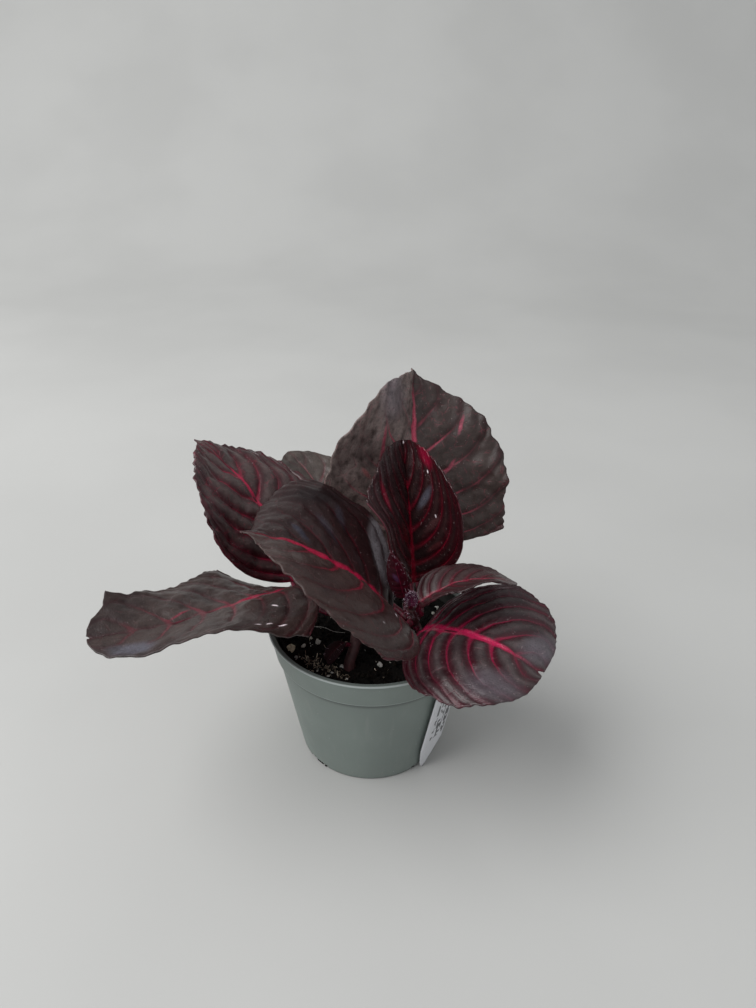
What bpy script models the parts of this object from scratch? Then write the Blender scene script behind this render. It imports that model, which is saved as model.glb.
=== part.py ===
"""Potted bloodleaf: a young plant with dark red leaves in a small tapered nursery pot.

The pot stands on its flat base at the origin, +Z up. Sizes below are in millimetres and
degrees, and each shape is turned into metres as it is made.
"""

import math
from dataclasses import dataclass

import bmesh
import bpy
import numpy as np
from mathutils import Matrix, Vector

MM = 0.001

# Fit between pieces that touch
GAP = 0.3
END_GAP = 0.45
WELD = 0.05

# Pot
POT_HEIGHT = 43.0
RIM_RADIUS = 30.0
FOOT_RADIUS = 21.3
BODY_TOP_RADIUS = 27.6
COLLAR_HEIGHT = 8.1
COLLAR_STEP = 0.6
COLLAR_TOP_RADIUS = 29.5
LIP_HEIGHT = 0.9
LIP_SLOPE = 0.3
LIP_ROUND = 0.25
WALL = 1.0
FLOOR = 1.2
FOOT_ROUND = 0.6
FOOT_BAND = 2.0
POT_SIDES = 48
DRAIN_COUNT = 4
DRAIN_WIDTH = 7.5
DRAIN_HEIGHT = 1.1
DRAIN_DEPTH = 3.0

# Soil
SOIL_BELOW_RIM = 5.0
SOIL_EDGE_GAP = 0.6
SOIL_RINGS = 8
SOIL_SIDES = 40
SOIL_WAVES = ((25, 9.0, 0.3, 40), (80, 12.0, 0.25, 115), (140, 7.0, 0.2, 230), (55, 5.5, 0.12, 0))

# Label
LABEL_WIDTH = 9.6
LABEL_THICKNESS = 0.6
LABEL_POINT = 9.0
LABEL_POINT_SHIFT = -2.0
LABEL_AZIMUTH = -40.6
LABEL_TAIL = 3.6
LABEL_TAIL_LEAN = 0.8
LABEL_CORNER_SHARE = 0.4

# Stems
STEM_ROOT_DEPTH = 7.0
STEM_SIDES = 10
STEM_STEPS = 4
STRAIGHT_ABOVE_SOIL = 2.0
PETIOLE_SIDES = 8
PETIOLE_STEPS = 8
PETIOLE_RADIUS = 1.0
PETIOLE_PULL_SHARE = 0.45
PETIOLE_PULL_LIMIT = 6.0
RIDGE_STEPS = 9
RIDGE_END = 0.85
RIDGE_END_RADIUS = 0.45
RIDGE_DROP_SHARE = 0.75

# Blades
BLADE_THICKNESS = 0.75
VEIN_SPACES = 8
VEIN_CROWDING = 1.5
PILLOW_HEIGHT = 0.7
PILLOW_SKEW = 0.7
PILLOW_FULL_LENGTH = 50.0
SCALLOP = 0.012
MIDRIB_STEPS = 60
MIDRIB_PAD = 0.4
WIDEST_SHARE = 0.75
FLAP_SPREAD = 0.09


@dataclass(frozen=True)
class Finish:
    """Colour and surface of one material."""

    name: str
    colour: tuple
    roughness: float
    metallic: float = 0.0


@dataclass(frozen=True)
class Stem:
    """A shoot's stem, given by the points that it passes through above the soil."""

    name: str
    foot: tuple
    way: tuple
    foot_radius: float
    top_radius: float


@dataclass(frozen=True)
class Half:
    """How one half of a blade stands off its midrib.

    fold is the angle at the midrib, cup the further turn out to the margin, each given at
    the blade's base and at its tip, and wave is the height of the margin's waves.
    """

    fold: tuple
    cup: tuple
    wave: float = 0.0


@dataclass(frozen=True)
class Leaf:
    """One leaf, with its blade's size, its way out from the plant and its petiole.

    base is where the blade starts. heading is the way that the midrib goes seen from above
    and rise its slope. sweep and droop turn it along its length and hook bends its tip.
    twist rolls the blade at its base and turn rolls it further to the tip. reach is the
    length of the side veins from base to tip, which gives the outline. vein_angle is the
    angle between midrib and side veins at base and tip, and vein_curl the share of it that
    a side vein loses on its way to the margin. flap is a corner of the right half.
    """

    name: str
    base: tuple
    heading: float
    rise: float
    length: float
    reach: tuple
    left: Half
    right: Half
    stem: str
    joint_height: float
    joint_azimuth: float
    droop: float = 0.0
    hook: float = 0.0
    sweep: float = 0.0
    twist: float = 0.0
    turn: float = 0.0
    vein_angle: tuple = (95.0, 45.0)
    vein_curl: float = 0.7
    waves: float = 0.0
    wave_start: float = 0.0
    flap: float = 0.0
    flap_at: float = 0.0
    rows: int = 16
    columns: int = 6
    petiole_radius: float = PETIOLE_RADIUS
    finish: str = "dark_leaf"


STEMS = (
    Stem(
        "main_stem", foot=(11.5, 2.0), foot_radius=1.7, top_radius=1.2,
        way=((12.2, -2.2, 43.5), (12.5, -6.0, 48.5), (11.0, -9.2, 53.0)),
    ),
    Stem(
        "side_stem", foot=(-5.8, -15.2), foot_radius=1.6, top_radius=1.2,
        way=((-4.2, -12.2, 44.0), (-5.0, -7.0, 49.5), (-9.0, -1.5, 53.0)),
    ),
)

LEAVES = (
    Leaf(
        "leaf_front", base=(6.0, -11.0, 52.5), heading=211, rise=57, length=53,
        reach=(39, 45, 9, 0), droop=25, hook=20, sweep=-20, twist=20, turn=10,
        left=Half(fold=(-10, -15), cup=(-55, -20), wave=-0.5),
        right=Half(fold=(50, 25), cup=(30, 0), wave=1.0),
        vein_angle=(100, 35), vein_curl=0.9, waves=2.0,
        stem="main_stem", joint_height=46.0, joint_azimuth=-120,
    ),
    Leaf(
        "leaf_upper_left", base=(-22.9, 8.1, 50.0), heading=132, rise=63, length=53,
        reach=(29.5, 38.8, 11.4, 0), droop=35, hook=5, sweep=25, twist=0, turn=15,
        left=Half(fold=(-5, 10), cup=(0, -5)),
        right=Half(fold=(15, -5), cup=(5, 0), wave=0.5),
        vein_angle=(80, 35), vein_curl=0.9, waves=2.0,
        stem="side_stem", joint_height=50.0, joint_azimuth=145,
    ),
    Leaf(
        "leaf_lower_left", base=(-22.0, -3.0, 55.0), heading=223, rise=13, length=55.5,
        reach=(26, 23, 23, 1), droop=30, hook=-30, sweep=-20, twist=30, turn=-10,
        left=Half(fold=(5, -20), cup=(-40, 30), wave=-2.5),
        right=Half(fold=(0, 40), cup=(10, -5), wave=2.0),
        vein_angle=(100, 50), vein_curl=0.7, waves=1.25, flap=3.5, flap_at=0.64,
        stem="side_stem", joint_height=54.0, joint_azimuth=150, finish="grey_leaf",
    ),
    Leaf(
        "leaf_right", base=(14.5, -8.0, 44.5), heading=-47, rise=37, length=38,
        reach=(26, 38, 18, 2), droop=55, hook=5, sweep=15, twist=0, turn=-10,
        left=Half(fold=(15, 10), cup=(15, -10)),
        right=Half(fold=(-10, 5), cup=(-30, -30), wave=1.0),
        vein_angle=(90, 60), vein_curl=0.75, waves=2.25, wave_start=30,
        stem="main_stem", joint_height=42.4, joint_azimuth=-50, finish="grey_leaf",
    ),
    Leaf(
        "leaf_top", base=(12.6, 20.5, 53.4), heading=96, rise=81, length=57.3,
        reach=(25.1, 45.2, 11.1, 0), droop=35, hook=5, sweep=-5, twist=10, turn=25,
        left=Half(fold=(-20, 45), cup=(-15, -5), wave=1.0),
        right=Half(fold=(-15, 30), cup=(55, 15), wave=1.0),
        vein_angle=(95, 25), vein_curl=0.35, waves=3.25, wave_start=15, flap=3.5, flap_at=0.0,
        stem="main_stem", joint_height=43.8, joint_azimuth=60,
    ),
    Leaf(
        "leaf_centre", base=(11.5, 4.4, 52.4), heading=96, rise=70, length=42.2,
        reach=(32.2, 25.1, 13.1, 0), droop=15, hook=15, sweep=5, twist=-5,
        left=Half(fold=(80, 50), cup=(5, -20), wave=1.5),
        right=Half(fold=(10, 60), cup=(50, 45)),
        vein_angle=(85, 25), vein_curl=0.95, waves=2.75, wave_start=45,
        stem="main_stem", joint_height=46.6, joint_azimuth=105,
    ),
    Leaf(
        "leaf_back_left", base=(-3.1, 24.0, 43.9), heading=130, rise=53, length=47.9,
        reach=(8.2, 24.5, 15.3, 0), droop=30, hook=5, sweep=5,
        left=Half(fold=(20, 5), cup=(10, 10), wave=0.5),
        right=Half(fold=(20, 5), cup=(10, 10), wave=0.5),
        vein_angle=(95, 50), vein_curl=0.7, waves=2.0,
        stem="main_stem", joint_height=42.0, joint_azimuth=135,
    ),
    Leaf(
        "leaf_small_right", base=(13.1, -11.1, 56.1), heading=8, rise=40, length=27.9,
        reach=(9.3, 17.7, 10.2, 0), droop=40, hook=15, sweep=-20, twist=-20, turn=-15,
        left=Half(fold=(40, 5), cup=(10, 5), wave=0.5),
        right=Half(fold=(-5, -10), cup=(15, 10), wave=1.5),
        vein_angle=(90, 45), vein_curl=0.8, waves=1.75, wave_start=-45,
        stem="main_stem", joint_height=50.2, joint_azimuth=-20,
        rows=12, columns=4, petiole_radius=0.8,
    ),
    Leaf(
        "young_leaf_left", base=(9.2, -6.7, 55.1), heading=192, rise=72, length=12,
        reach=(2.4, 4.7, 3.8, 0), droop=5, twist=-112,
        left=Half(fold=(30, 20), cup=(10, 5)), right=Half(fold=(30, 20), cup=(10, 5)),
        vein_angle=(90, 40), vein_curl=0.7,
        stem="main_stem", joint_height=50.0, joint_azimuth=170,
        rows=6, columns=3, petiole_radius=0.6, finish="red_leaf",
    ),
    Leaf(
        "young_leaf_tip", base=(11.0, -11.6, 55.7), heading=80, rise=85, length=5.0,
        reach=(1.8, 3.2, 2, 0), droop=-20,
        left=Half(fold=(25, 20), cup=(10, 5)), right=Half(fold=(25, 20), cup=(10, 5)),
        vein_angle=(90, 40), vein_curl=0.7,
        stem="main_stem", joint_height=53.5, joint_azimuth=0,
        rows=4, columns=2, petiole_radius=0.5, finish="red_leaf",
    ),
    Leaf(
        "young_leaf_side", base=(-7.2, -14.2, 44.6), heading=215, rise=-10, length=7.5,
        reach=(4, 6.5, 4, 0), droop=45, twist=15,
        left=Half(fold=(15, 5), cup=(-20, -5)), right=Half(fold=(15, 5), cup=(-20, -5)),
        vein_angle=(90, 40), vein_curl=0.7,
        stem="side_stem", joint_height=43.0, joint_azimuth=205,
        rows=4, columns=3, petiole_radius=0.6, finish="red_leaf",
    ),
)

FINISHES = {
    "pot": Finish("grey_green_plastic", (0.14, 0.165, 0.15), 0.5),
    "soil": Finish("peat", (0.006, 0.005, 0.004), 0.95),
    "label": Finish("white_plastic", (0.62, 0.62, 0.6), 0.4),
    "stem": Finish("red_stem", (0.13, 0.012, 0.02), 0.45),
    "dark_leaf": Finish("dark_red_leaf", (0.042, 0.02, 0.021), 0.42),
    "grey_leaf": Finish("grey_red_leaf", (0.07, 0.05, 0.05), 0.5),
    "red_leaf": Finish("crimson_leaf", (0.09, 0.008, 0.018), 0.4),
}


def clear_scene():
    """Remove every object of the scene."""
    for item in list(bpy.data.objects):
        bpy.data.objects.remove(item, do_unlink=True)


def make_material(finish):
    """Return a plain Principled material of this finish, made once."""
    material = bpy.data.materials.get(finish.name)
    if material is not None:
        return material
    material = bpy.data.materials.new(finish.name)
    material.use_nodes = True
    shader = material.node_tree.nodes["Principled BSDF"]
    shader.inputs["Base Color"].default_value = (*finish.colour, 1.0)
    shader.inputs["Roughness"].default_value = finish.roughness
    shader.inputs["Metallic"].default_value = finish.metallic
    return material


def add_object(name, bm, finish=None, smooth=True):
    """Close a bmesh into a named object with its faces outward and in metres."""
    bmesh.ops.recalc_face_normals(bm, faces=bm.faces)
    bmesh.ops.scale(bm, vec=Vector((MM, MM, MM)), verts=bm.verts)
    mesh = bpy.data.meshes.new(name)
    bm.to_mesh(mesh)
    bm.free()
    if finish is not None:
        mesh.materials.append(make_material(finish))
    mesh.polygons.foreach_set("use_smooth", [smooth] * len(mesh.polygons))
    item = bpy.data.objects.new(name, mesh)
    bpy.context.collection.objects.link(item)
    return item


def spun_solid(profile, sides):
    """Return a bmesh of a profile of (radius, height) points spun about Z and closed."""
    bm = bmesh.new()
    corners = [bm.verts.new((radius, 0.0, height)) for radius, height in profile]
    edges = [bm.edges.new(pair) for pair in zip(corners, corners[1:])]
    if profile[0][0] > 0.0:
        edges.append(bm.edges.new((corners[-1], corners[0])))
    bmesh.ops.spin(
        bm, geom=corners + edges, cent=(0, 0, 0), axis=(0, 0, 1),
        angle=2.0 * math.pi, steps=sides, use_merge=True,
    )
    bmesh.ops.remove_doubles(bm, verts=bm.verts, dist=WELD)
    return bm


def add_tube(bm, centres, radii, sides):
    """Add a closed tube through these centres, with a ring square to the way at each."""
    rings = []
    for index, (centre, radius) in enumerate(zip(centres, radii)):
        before = centres[max(index - 1, 0)]
        after = centres[min(index + 1, len(centres) - 1)]
        turn = (after - before).to_track_quat("Z", "Y").to_matrix().to_4x4()
        ring = bmesh.ops.create_circle(
            bm, cap_ends=False, segments=sides, radius=radius,
            matrix=Matrix.Translation(centre) @ turn,
        )["verts"]
        rings.append(ring)
    for ring, following in zip(rings, rings[1:]):
        edges = ring_edges(ring) + ring_edges(following)
        bmesh.ops.bridge_loops(bm, edges=edges)
    bmesh.ops.contextual_create(bm, geom=ring_edges(rings[0]))
    bmesh.ops.contextual_create(bm, geom=ring_edges(rings[-1]))


def ring_edges(ring):
    """Return the edges that join the vertices of one ring."""
    members = set(ring)
    edges = {edge for vert in ring for edge in vert.link_edges}
    return [edge for edge in edges if all(vert in members for vert in edge.verts)]


def smooth_way(points, steps):
    """Return evenly stepped points on a curve through all these points."""
    padded = [points[0] * 2.0 - points[1], *points, points[-1] * 2.0 - points[-2]]
    way = []
    for index in range(1, len(padded) - 2):
        p0, p1, p2, p3 = padded[index - 1:index + 3]
        for step in range(steps):
            t = step / steps
            way.append(
                0.5 * (2.0 * p1 + (p2 - p0) * t
                       + (2.0 * p0 - 5.0 * p1 + 4.0 * p2 - p3) * t ** 2
                       + (3.0 * p1 - 3.0 * p2 + p3 - p0) * t ** 3)
            )
    way.append(points[-1])
    return way


def join_solids(base, others, solver="EXACT"):
    """Fuse other solids into the base object and remove them."""
    group = bpy.data.collections.new(base.name + "_parts")
    bpy.context.scene.collection.children.link(group)
    for item in others:
        bpy.context.collection.objects.unlink(item)
        group.objects.link(item)
    union = base.modifiers.new("fuse", "BOOLEAN")
    union.operation = "UNION"
    union.operand_type = "COLLECTION"
    union.collection = group
    union.solver = solver
    freeze(base)
    for item in list(group.objects):
        bpy.data.objects.remove(item, do_unlink=True)
    bpy.data.collections.remove(group)


def freeze(item):
    """Turn an object's modifiers into its mesh."""
    graph = bpy.context.evaluated_depsgraph_get()
    mesh = bpy.data.meshes.new_from_object(item.evaluated_get(graph))
    item.modifiers.clear()
    item.data = mesh


def thicken(item, thickness):
    """Give an open sheet its thickness, half to each side."""
    shell = item.modifiers.new("thickness", "SOLIDIFY")
    shell.thickness = thickness * MM
    shell.offset = 0.0
    shell.use_quality_normals = True
    freeze(item)


def cut(item, cutter):
    """Take a cutter's shape out of an object and keep the cutter out of the picture."""
    cutter.hide_render = True
    cutter.display_type = "WIRE"
    difference = item.modifiers.new(cutter.name, "BOOLEAN")
    difference.operation = "DIFFERENCE"
    difference.object = cutter
    difference.solver = "EXACT"
    freeze(item)
    bpy.data.objects.remove(cutter, do_unlink=True)


def step_height():
    """Height of the step under the pot's collar."""
    return POT_HEIGHT - COLLAR_HEIGHT


def inner_radius(height):
    """Inside radius of the pot's wall at a height."""
    low = FOOT_RADIUS - WALL
    middle = BODY_TOP_RADIUS - WALL
    top = COLLAR_TOP_RADIUS - WALL
    if height < step_height():
        return low + (middle - low) * (height - FLOOR) / (step_height() - FLOOR)
    share = (height - step_height()) / (COLLAR_HEIGHT - LIP_HEIGHT)
    return middle + (top - middle) * share


def outer_radius(height):
    """Outside radius of the pot's body at a height below the collar."""
    return FOOT_RADIUS + (BODY_TOP_RADIUS - FOOT_RADIUS) * height / step_height()


def pot_profile():
    """Closed outline of the pot's wall and floor, from the middle of the base outward."""
    lip_foot = POT_HEIGHT - LIP_HEIGHT
    return [
        (0.0, 0.0),
        (FOOT_RADIUS - FOOT_ROUND, 0.0),
        (outer_radius(FOOT_ROUND), FOOT_ROUND),
        (outer_radius(FOOT_BAND), FOOT_BAND),
        (outer_radius(step_height() - COLLAR_STEP), step_height() - COLLAR_STEP),
        (BODY_TOP_RADIUS + COLLAR_STEP, step_height()),
        (COLLAR_TOP_RADIUS, lip_foot),
        (RIM_RADIUS, lip_foot + LIP_SLOPE),
        (RIM_RADIUS, POT_HEIGHT - LIP_ROUND),
        (RIM_RADIUS - LIP_ROUND, POT_HEIGHT),
        (inner_radius(lip_foot) + LIP_ROUND, POT_HEIGHT),
        (inner_radius(lip_foot), POT_HEIGHT - LIP_ROUND),
        (inner_radius(step_height()), step_height()),
        (inner_radius(FLOOR), FLOOR),
        (0.0, FLOOR),
    ]


def build_pot():
    """Make the pot with its lip, collar and drain notches at the foot."""
    pot = add_object("pot", spun_solid(pot_profile(), POT_SIDES), FINISHES["pot"])
    bm = bmesh.new()
    for index in range(DRAIN_COUNT):
        azimuth = 2.0 * math.pi * (index + 0.5) / DRAIN_COUNT
        place = Matrix.Rotation(azimuth, 4, "Z")
        place = place @ Matrix.Translation((FOOT_RADIUS, 0.0, 0.0))
        place = place @ Matrix.Diagonal((2.0 * DRAIN_DEPTH, DRAIN_WIDTH, 2.0 * DRAIN_HEIGHT, 1.0))
        bmesh.ops.create_cube(bm, size=1.0, matrix=place)
    cut(pot, add_object("drain_cutter", bm))
    return pot


def soil_height(x, y):
    """Height of the soil's surface, the sum of low waves of (azimuth, pitch, height, start)."""
    height = POT_HEIGHT - SOIL_BELOW_RIM
    for azimuth, pitch, rise, start in SOIL_WAVES:
        turn = math.radians(azimuth)
        way = x * math.cos(turn) + y * math.sin(turn)
        height += rise * math.sin(2.0 * math.pi * way / pitch + math.radians(start))
    return height


def build_soil():
    """Make the soil that fills the pot, with a plain hole for each stem."""
    level = POT_HEIGHT - SOIL_BELOW_RIM
    edge = inner_radius(level) - SOIL_EDGE_GAP
    rings = [(edge * index / SOIL_RINGS, level) for index in range(SOIL_RINGS + 1)]
    middle = step_height()
    bottom = FLOOR + GAP
    profile = rings + [
        (inner_radius(middle) - GAP, middle),
        (inner_radius(bottom) - GAP, bottom),
        (0.0, bottom),
    ]
    bm = spun_solid(profile, SOIL_SIDES)
    for vert in bm.verts:
        if vert.co.z > 0.5 * (level + middle):
            vert.co.z = soil_height(vert.co.x, vert.co.y)
    soil = add_object("soil", bm, FINISHES["soil"])
    for stem in STEMS:
        hole = bmesh.new()
        depth = STEM_ROOT_DEPTH + GAP
        top = level + STRAIGHT_ABOVE_SOIL
        bmesh.ops.create_cone(
            hole, cap_ends=True, segments=2 * STEM_SIDES, radius1=stem.foot_radius + GAP,
            radius2=stem.foot_radius + GAP, depth=depth + STRAIGHT_ABOVE_SOIL,
            matrix=Matrix.Translation((*stem.foot, 0.5 * (level - depth + top))),
        )
        cut(soil, add_object(stem.name + "_hole", hole))
    return soil


def label_centre_line():
    """Way of the label's middle, as (radius, height) points from its tip to its inner tail."""
    half = 0.5 * LABEL_THICKNESS
    off = half + GAP
    sagitta = RIM_RADIUS - math.sqrt(RIM_RADIUS ** 2 - (0.5 * LABEL_WIDTH) ** 2)
    outside = RIM_RADIUS + off
    inside = inner_radius(POT_HEIGHT - LIP_HEIGHT) - off - sagitta
    over = POT_HEIGHT + off
    corner = 0.5 * LABEL_CORNER_SHARE * (outside - inside)
    line = [
        (FOOT_RADIUS + off + GAP, GAP),
        (BODY_TOP_RADIUS + COLLAR_STEP + off, step_height() - GAP),
        (outside, POT_HEIGHT - LIP_HEIGHT),
        (outside, over - corner),
        (outside - corner, over),
        (inside + corner, over),
        (inside, over - corner),
        (inside - LABEL_TAIL_LEAN, POT_HEIGHT - LABEL_TAIL),
    ]
    return [Vector((radius, 0.0, height)) for radius, height in line]


def build_label():
    """Make the pointed plastic strip that hangs over the rim."""
    line = label_centre_line()
    start = line[0].lerp(line[1], LABEL_POINT / (line[1] - line[0]).length)
    line.insert(1, start)
    bm = bmesh.new()
    bmesh.ops.create_grid(bm, x_segments=1, y_segments=len(line) - 1, size=1.0)
    for vert in bm.verts:
        index = round(0.5 * (vert.co.y + 1.0) * (len(line) - 1))
        half_width = 0.5 * (LABEL_WIDTH if index else LABEL_THICKNESS)
        shift = 0.0 if index else LABEL_POINT_SHIFT
        vert.co = line[index] + Vector((0.0, shift + half_width * vert.co.x, 0.0))
    turn = Matrix.Rotation(math.radians(LABEL_AZIMUTH), 4, "Z")
    bmesh.ops.transform(bm, matrix=turn, verts=bm.verts)
    label = add_object("label", bm, FINISHES["label"], smooth=False)
    thicken(label, LABEL_THICKNESS)
    return label


def stem_way(stem):
    """Centres of a stem's rings, upright in the soil and bending above it."""
    level = POT_HEIGHT - SOIL_BELOW_RIM
    root = Vector((*stem.foot, level - STEM_ROOT_DEPTH))
    neck = Vector((*stem.foot, level + 0.5 * STRAIGHT_ABOVE_SOIL))
    bend = [neck, *(Vector(point) for point in stem.way)]
    return [root, neck - Vector((0.0, 0.0, STRAIGHT_ABOVE_SOIL)), *smooth_way(bend, STEM_STEPS)]


def stem_radius(stem, height):
    """Radius of a stem at a height, thinner towards its top."""
    level = POT_HEIGHT - SOIL_BELOW_RIM
    share = (height - level) / (stem.way[-1][2] - level)
    return stem.foot_radius + (stem.top_radius - stem.foot_radius) * min(max(share, 0.0), 1.0)


def build_stem(stem):
    """Make one stem as a tapered tube."""
    centres = stem_way(stem)
    radii = [stem_radius(stem, centre.z) for centre in centres]
    bm = bmesh.new()
    add_tube(bm, centres, radii, STEM_SIDES)
    return add_object(stem.name, bm, FINISHES["stem"])


def stem_centre(stem, height):
    """Point on a stem's middle line at a height, or its end, and the line's direction there."""
    centres = stem_way(stem)
    for low, high in zip(centres, centres[1:]):
        if low.z <= height <= high.z:
            break
    share = min((height - low.z) / (high.z - low.z), 1.0)
    return low.lerp(high, share), (high - low).normalized()


class Blade:
    """Surface of a leaf, worked out from its sizes for whole arrays of points."""

    def __init__(self, leaf):
        self.leaf = leaf
        steps = int(MIDRIB_STEPS * (1.0 + 2.0 * MIDRIB_PAD))
        self.shares = np.linspace(-MIDRIB_PAD, 1.0 + MIDRIB_PAD, steps + 1)
        middles = 0.5 * (self.shares[1:] + self.shares[:-1])
        strides = self.direction(middles)[0] * (leaf.length / MIDRIB_STEPS)
        points = np.vstack([np.zeros(3), np.cumsum(strides, axis=0)])
        start = [np.interp(0.0, self.shares, points[:, axis]) for axis in range(3)]
        self.points = points - start + np.array(leaf.base)

    def direction(self, share):
        """Midrib direction and level left direction at a share of the length."""
        leaf = self.leaf
        share = np.clip(share, 0.0, 1.0)
        heading = np.radians(leaf.heading + leaf.sweep * share)
        slope = np.radians(leaf.rise - leaf.droop * share - leaf.hook * share ** 3)
        ahead = [np.cos(slope) * np.cos(heading), np.cos(slope) * np.sin(heading), np.sin(slope)]
        left = [-np.sin(heading), np.cos(heading), 0.0 * heading]
        return np.stack(ahead, axis=-1), np.stack(left, axis=-1)

    def frame(self, share):
        """Ahead, left and up directions of the blade, rolled by its twist."""
        ahead, left = self.direction(share)
        up = np.cross(ahead, left)
        inner = np.clip(share, 0.0, 1.0)
        roll = np.radians(self.leaf.twist + self.leaf.turn * inner)[..., None]
        rolled_left = left * np.cos(roll) + up * np.sin(roll)
        rolled_up = up * np.cos(roll) - left * np.sin(roll)
        return ahead, rolled_left, rolled_up

    def flat(self, side, origin, out):
        """Flat place of points at a share out along the side veins, along and across."""
        leaf = self.leaf
        first, second, third, last = leaf.reach
        rest = 1.0 - origin
        reach = (first * rest ** 3 + 3.0 * second * origin * rest ** 2
                 + 3.0 * third * origin ** 2 * rest + last * origin ** 3)
        row = np.clip(origin, 0.0, 1.0) ** (1.0 / VEIN_CROWDING)
        reach = reach * (1.0 + SCALLOP * np.sin(np.pi * VEIN_SPACES * row) ** 2)
        if side < 0:
            nearness = 1.0 - abs(origin - leaf.flap_at) / FLAP_SPREAD
            reach = reach + leaf.flap * np.clip(nearness, 0.0, 1.0)
        at_base, at_tip = leaf.vein_angle
        angle = np.radians(at_base + (at_tip - at_base) * origin)
        angle = angle * (1.0 - 0.5 * leaf.vein_curl * out)
        return leaf.length * origin + reach * out * np.cos(angle), reach * out * np.sin(angle)

    def relief(self, side, origin, out, along, wide):
        """Height of the waves at the margin and of the pillows between the side veins."""
        leaf = self.leaf
        half = leaf.left if side > 0 else leaf.right
        turn = 2.0 * np.pi * leaf.waves * along + math.radians(leaf.wave_start)
        wave = half.wave * wide ** 2 * np.sin(turn)
        row = np.clip(origin, 0.0, 1.0) ** (1.0 / VEIN_CROWDING)
        pillow = np.sin(np.pi * VEIN_SPACES * row) ** 2 * np.sin(np.pi * out ** PILLOW_SKEW)
        return wave + PILLOW_HEIGHT * pillow * min(1.0, leaf.length / PILLOW_FULL_LENGTH)

    def surface(self, side, origin, out):
        """Points of one half: side 1 is left of the midrib and -1 is right of it."""
        leaf = self.leaf
        half = leaf.left if side > 0 else leaf.right
        along, across = self.flat(side, origin, out)
        share = along / leaf.length
        held = np.clip(share, -MIDRIB_PAD, 1.0 + MIDRIB_PAD)
        rib = [np.interp(held, self.shares, self.points[:, axis]) for axis in range(3)]
        ahead, left, up = self.frame(share)
        rib = np.stack(rib, axis=-1) + ahead * ((share - held) * leaf.length)[..., None]
        wide = across / (WIDEST_SHARE * max(leaf.reach))
        inner = np.clip(share, 0.0, 1.0)
        fold = half.fold[0] + (half.fold[1] - half.fold[0]) * inner
        cup = half.cup[0] + (half.cup[1] - half.cup[0]) * inner
        angle = np.radians(fold + 0.5 * cup * wide)
        lift = self.relief(side, origin, out, share, wide)
        level = across * np.cos(angle) - lift * np.sin(angle)
        height = across * np.sin(angle) + lift * np.cos(angle)
        return rib + left * (side * level)[..., None] + up * height[..., None]

    def rib(self, share, drop=0.0):
        """Point on the midrib at a share of its length, dropped below the blade."""
        place = [np.interp(share, self.shares, self.points[:, axis]) for axis in range(3)]
        up = self.frame(np.array(share))[2]
        return Vector(place) - Vector(up) * drop


def blade_sheet(leaf):
    """Return the blade as an open sheet of triangles."""
    blade = Blade(leaf)
    bm = bmesh.new()
    bmesh.ops.create_grid(bm, x_segments=2 * leaf.columns, y_segments=leaf.rows, size=1.0)
    bm.verts.ensure_lookup_table()
    flat = np.array([vert.co[:2] for vert in bm.verts])
    origin = (0.5 * (flat[:, 1] + 1.0)).clip(0.0, 1.0) ** VEIN_CROWDING
    out = np.abs(flat[:, 0]).clip(0.0, 1.0)
    left = blade.surface(1, origin, out)
    right = blade.surface(-1, origin, out)
    for vert, column, high, low in zip(bm.verts, flat[:, 0], left, right):
        vert.co = high if column > 0.0 else low
    bmesh.ops.remove_doubles(bm, verts=bm.verts, dist=WELD)
    bmesh.ops.triangulate(bm, faces=bm.faces, quad_method="SHORT_EDGE")
    return bm


def petiole_way(leaf, ridge_radii):
    """Points of a leaf's petiole from its stem on to the ridge under the midrib."""
    stem = next(item for item in STEMS if item.name == leaf.stem)
    blade = Blade(leaf)
    centre, along = stem_centre(stem, leaf.joint_height)
    if leaf.joint_height >= stem.way[-1][2]:
        out = along
        start = centre + out * END_GAP
    else:
        azimuth = math.radians(leaf.joint_azimuth)
        level = Vector((math.cos(azimuth), math.sin(azimuth), 0.0))
        out = (level - along * level.dot(along)).normalized()
        start = centre + out * (stem_radius(stem, leaf.joint_height) + END_GAP)
    base = blade.rib(0.0, RIDGE_DROP_SHARE * leaf.petiole_radius)
    ahead = Vector(blade.direction(np.array(0.0))[0])
    pull = min(PETIOLE_PULL_SHARE * (base - start).length, PETIOLE_PULL_LIMIT)
    way = []
    for step in range(PETIOLE_STEPS):
        t = step / PETIOLE_STEPS
        way.append(
            start * (1 - t) ** 3 + (start + out * pull) * (3 * t * (1 - t) ** 2)
            + (base - ahead * pull) * (3 * t * t * (1 - t)) + base * t ** 3
        )
    for step, radius in enumerate(ridge_radii):
        way.append(blade.rib(RIDGE_END * step / RIDGE_STEPS, RIDGE_DROP_SHARE * radius))
    return way


def build_leaf(leaf):
    """Make one leaf: its blade, and its petiole running on as a ridge under the midrib."""
    finish = FINISHES[leaf.finish]
    blade = add_object(leaf.name, blade_sheet(leaf), finish)
    thicken(blade, BLADE_THICKNESS)
    ridge = np.linspace(leaf.petiole_radius, RIDGE_END_RADIUS, RIDGE_STEPS + 1).tolist()
    radii = [leaf.petiole_radius] * PETIOLE_STEPS + ridge
    bm = bmesh.new()
    add_tube(bm, petiole_way(leaf, ridge), radii, PETIOLE_SIDES)
    petiole = add_object(leaf.name + "_petiole", bm, finish)
    join_solids(blade, [petiole])
    return blade


def main():
    """Build every piece of the potted plant."""
    clear_scene()
    build_pot()
    build_soil()
    build_label()
    for stem in STEMS:
        build_stem(stem)
    for leaf in LEAVES:
        build_leaf(leaf)


main()
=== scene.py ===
"""Finished looks of a young potted bloodleaf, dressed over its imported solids.

The leaves, petioles, stems, soil, pot and label are made again here in fine meshes that keep
the solids' form, and get their veins, hairs, crumbs and finishes. Sizes are in millimetres
and degrees, and each mesh is turned into metres as its piece is made.
"""

from __future__ import annotations

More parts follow.
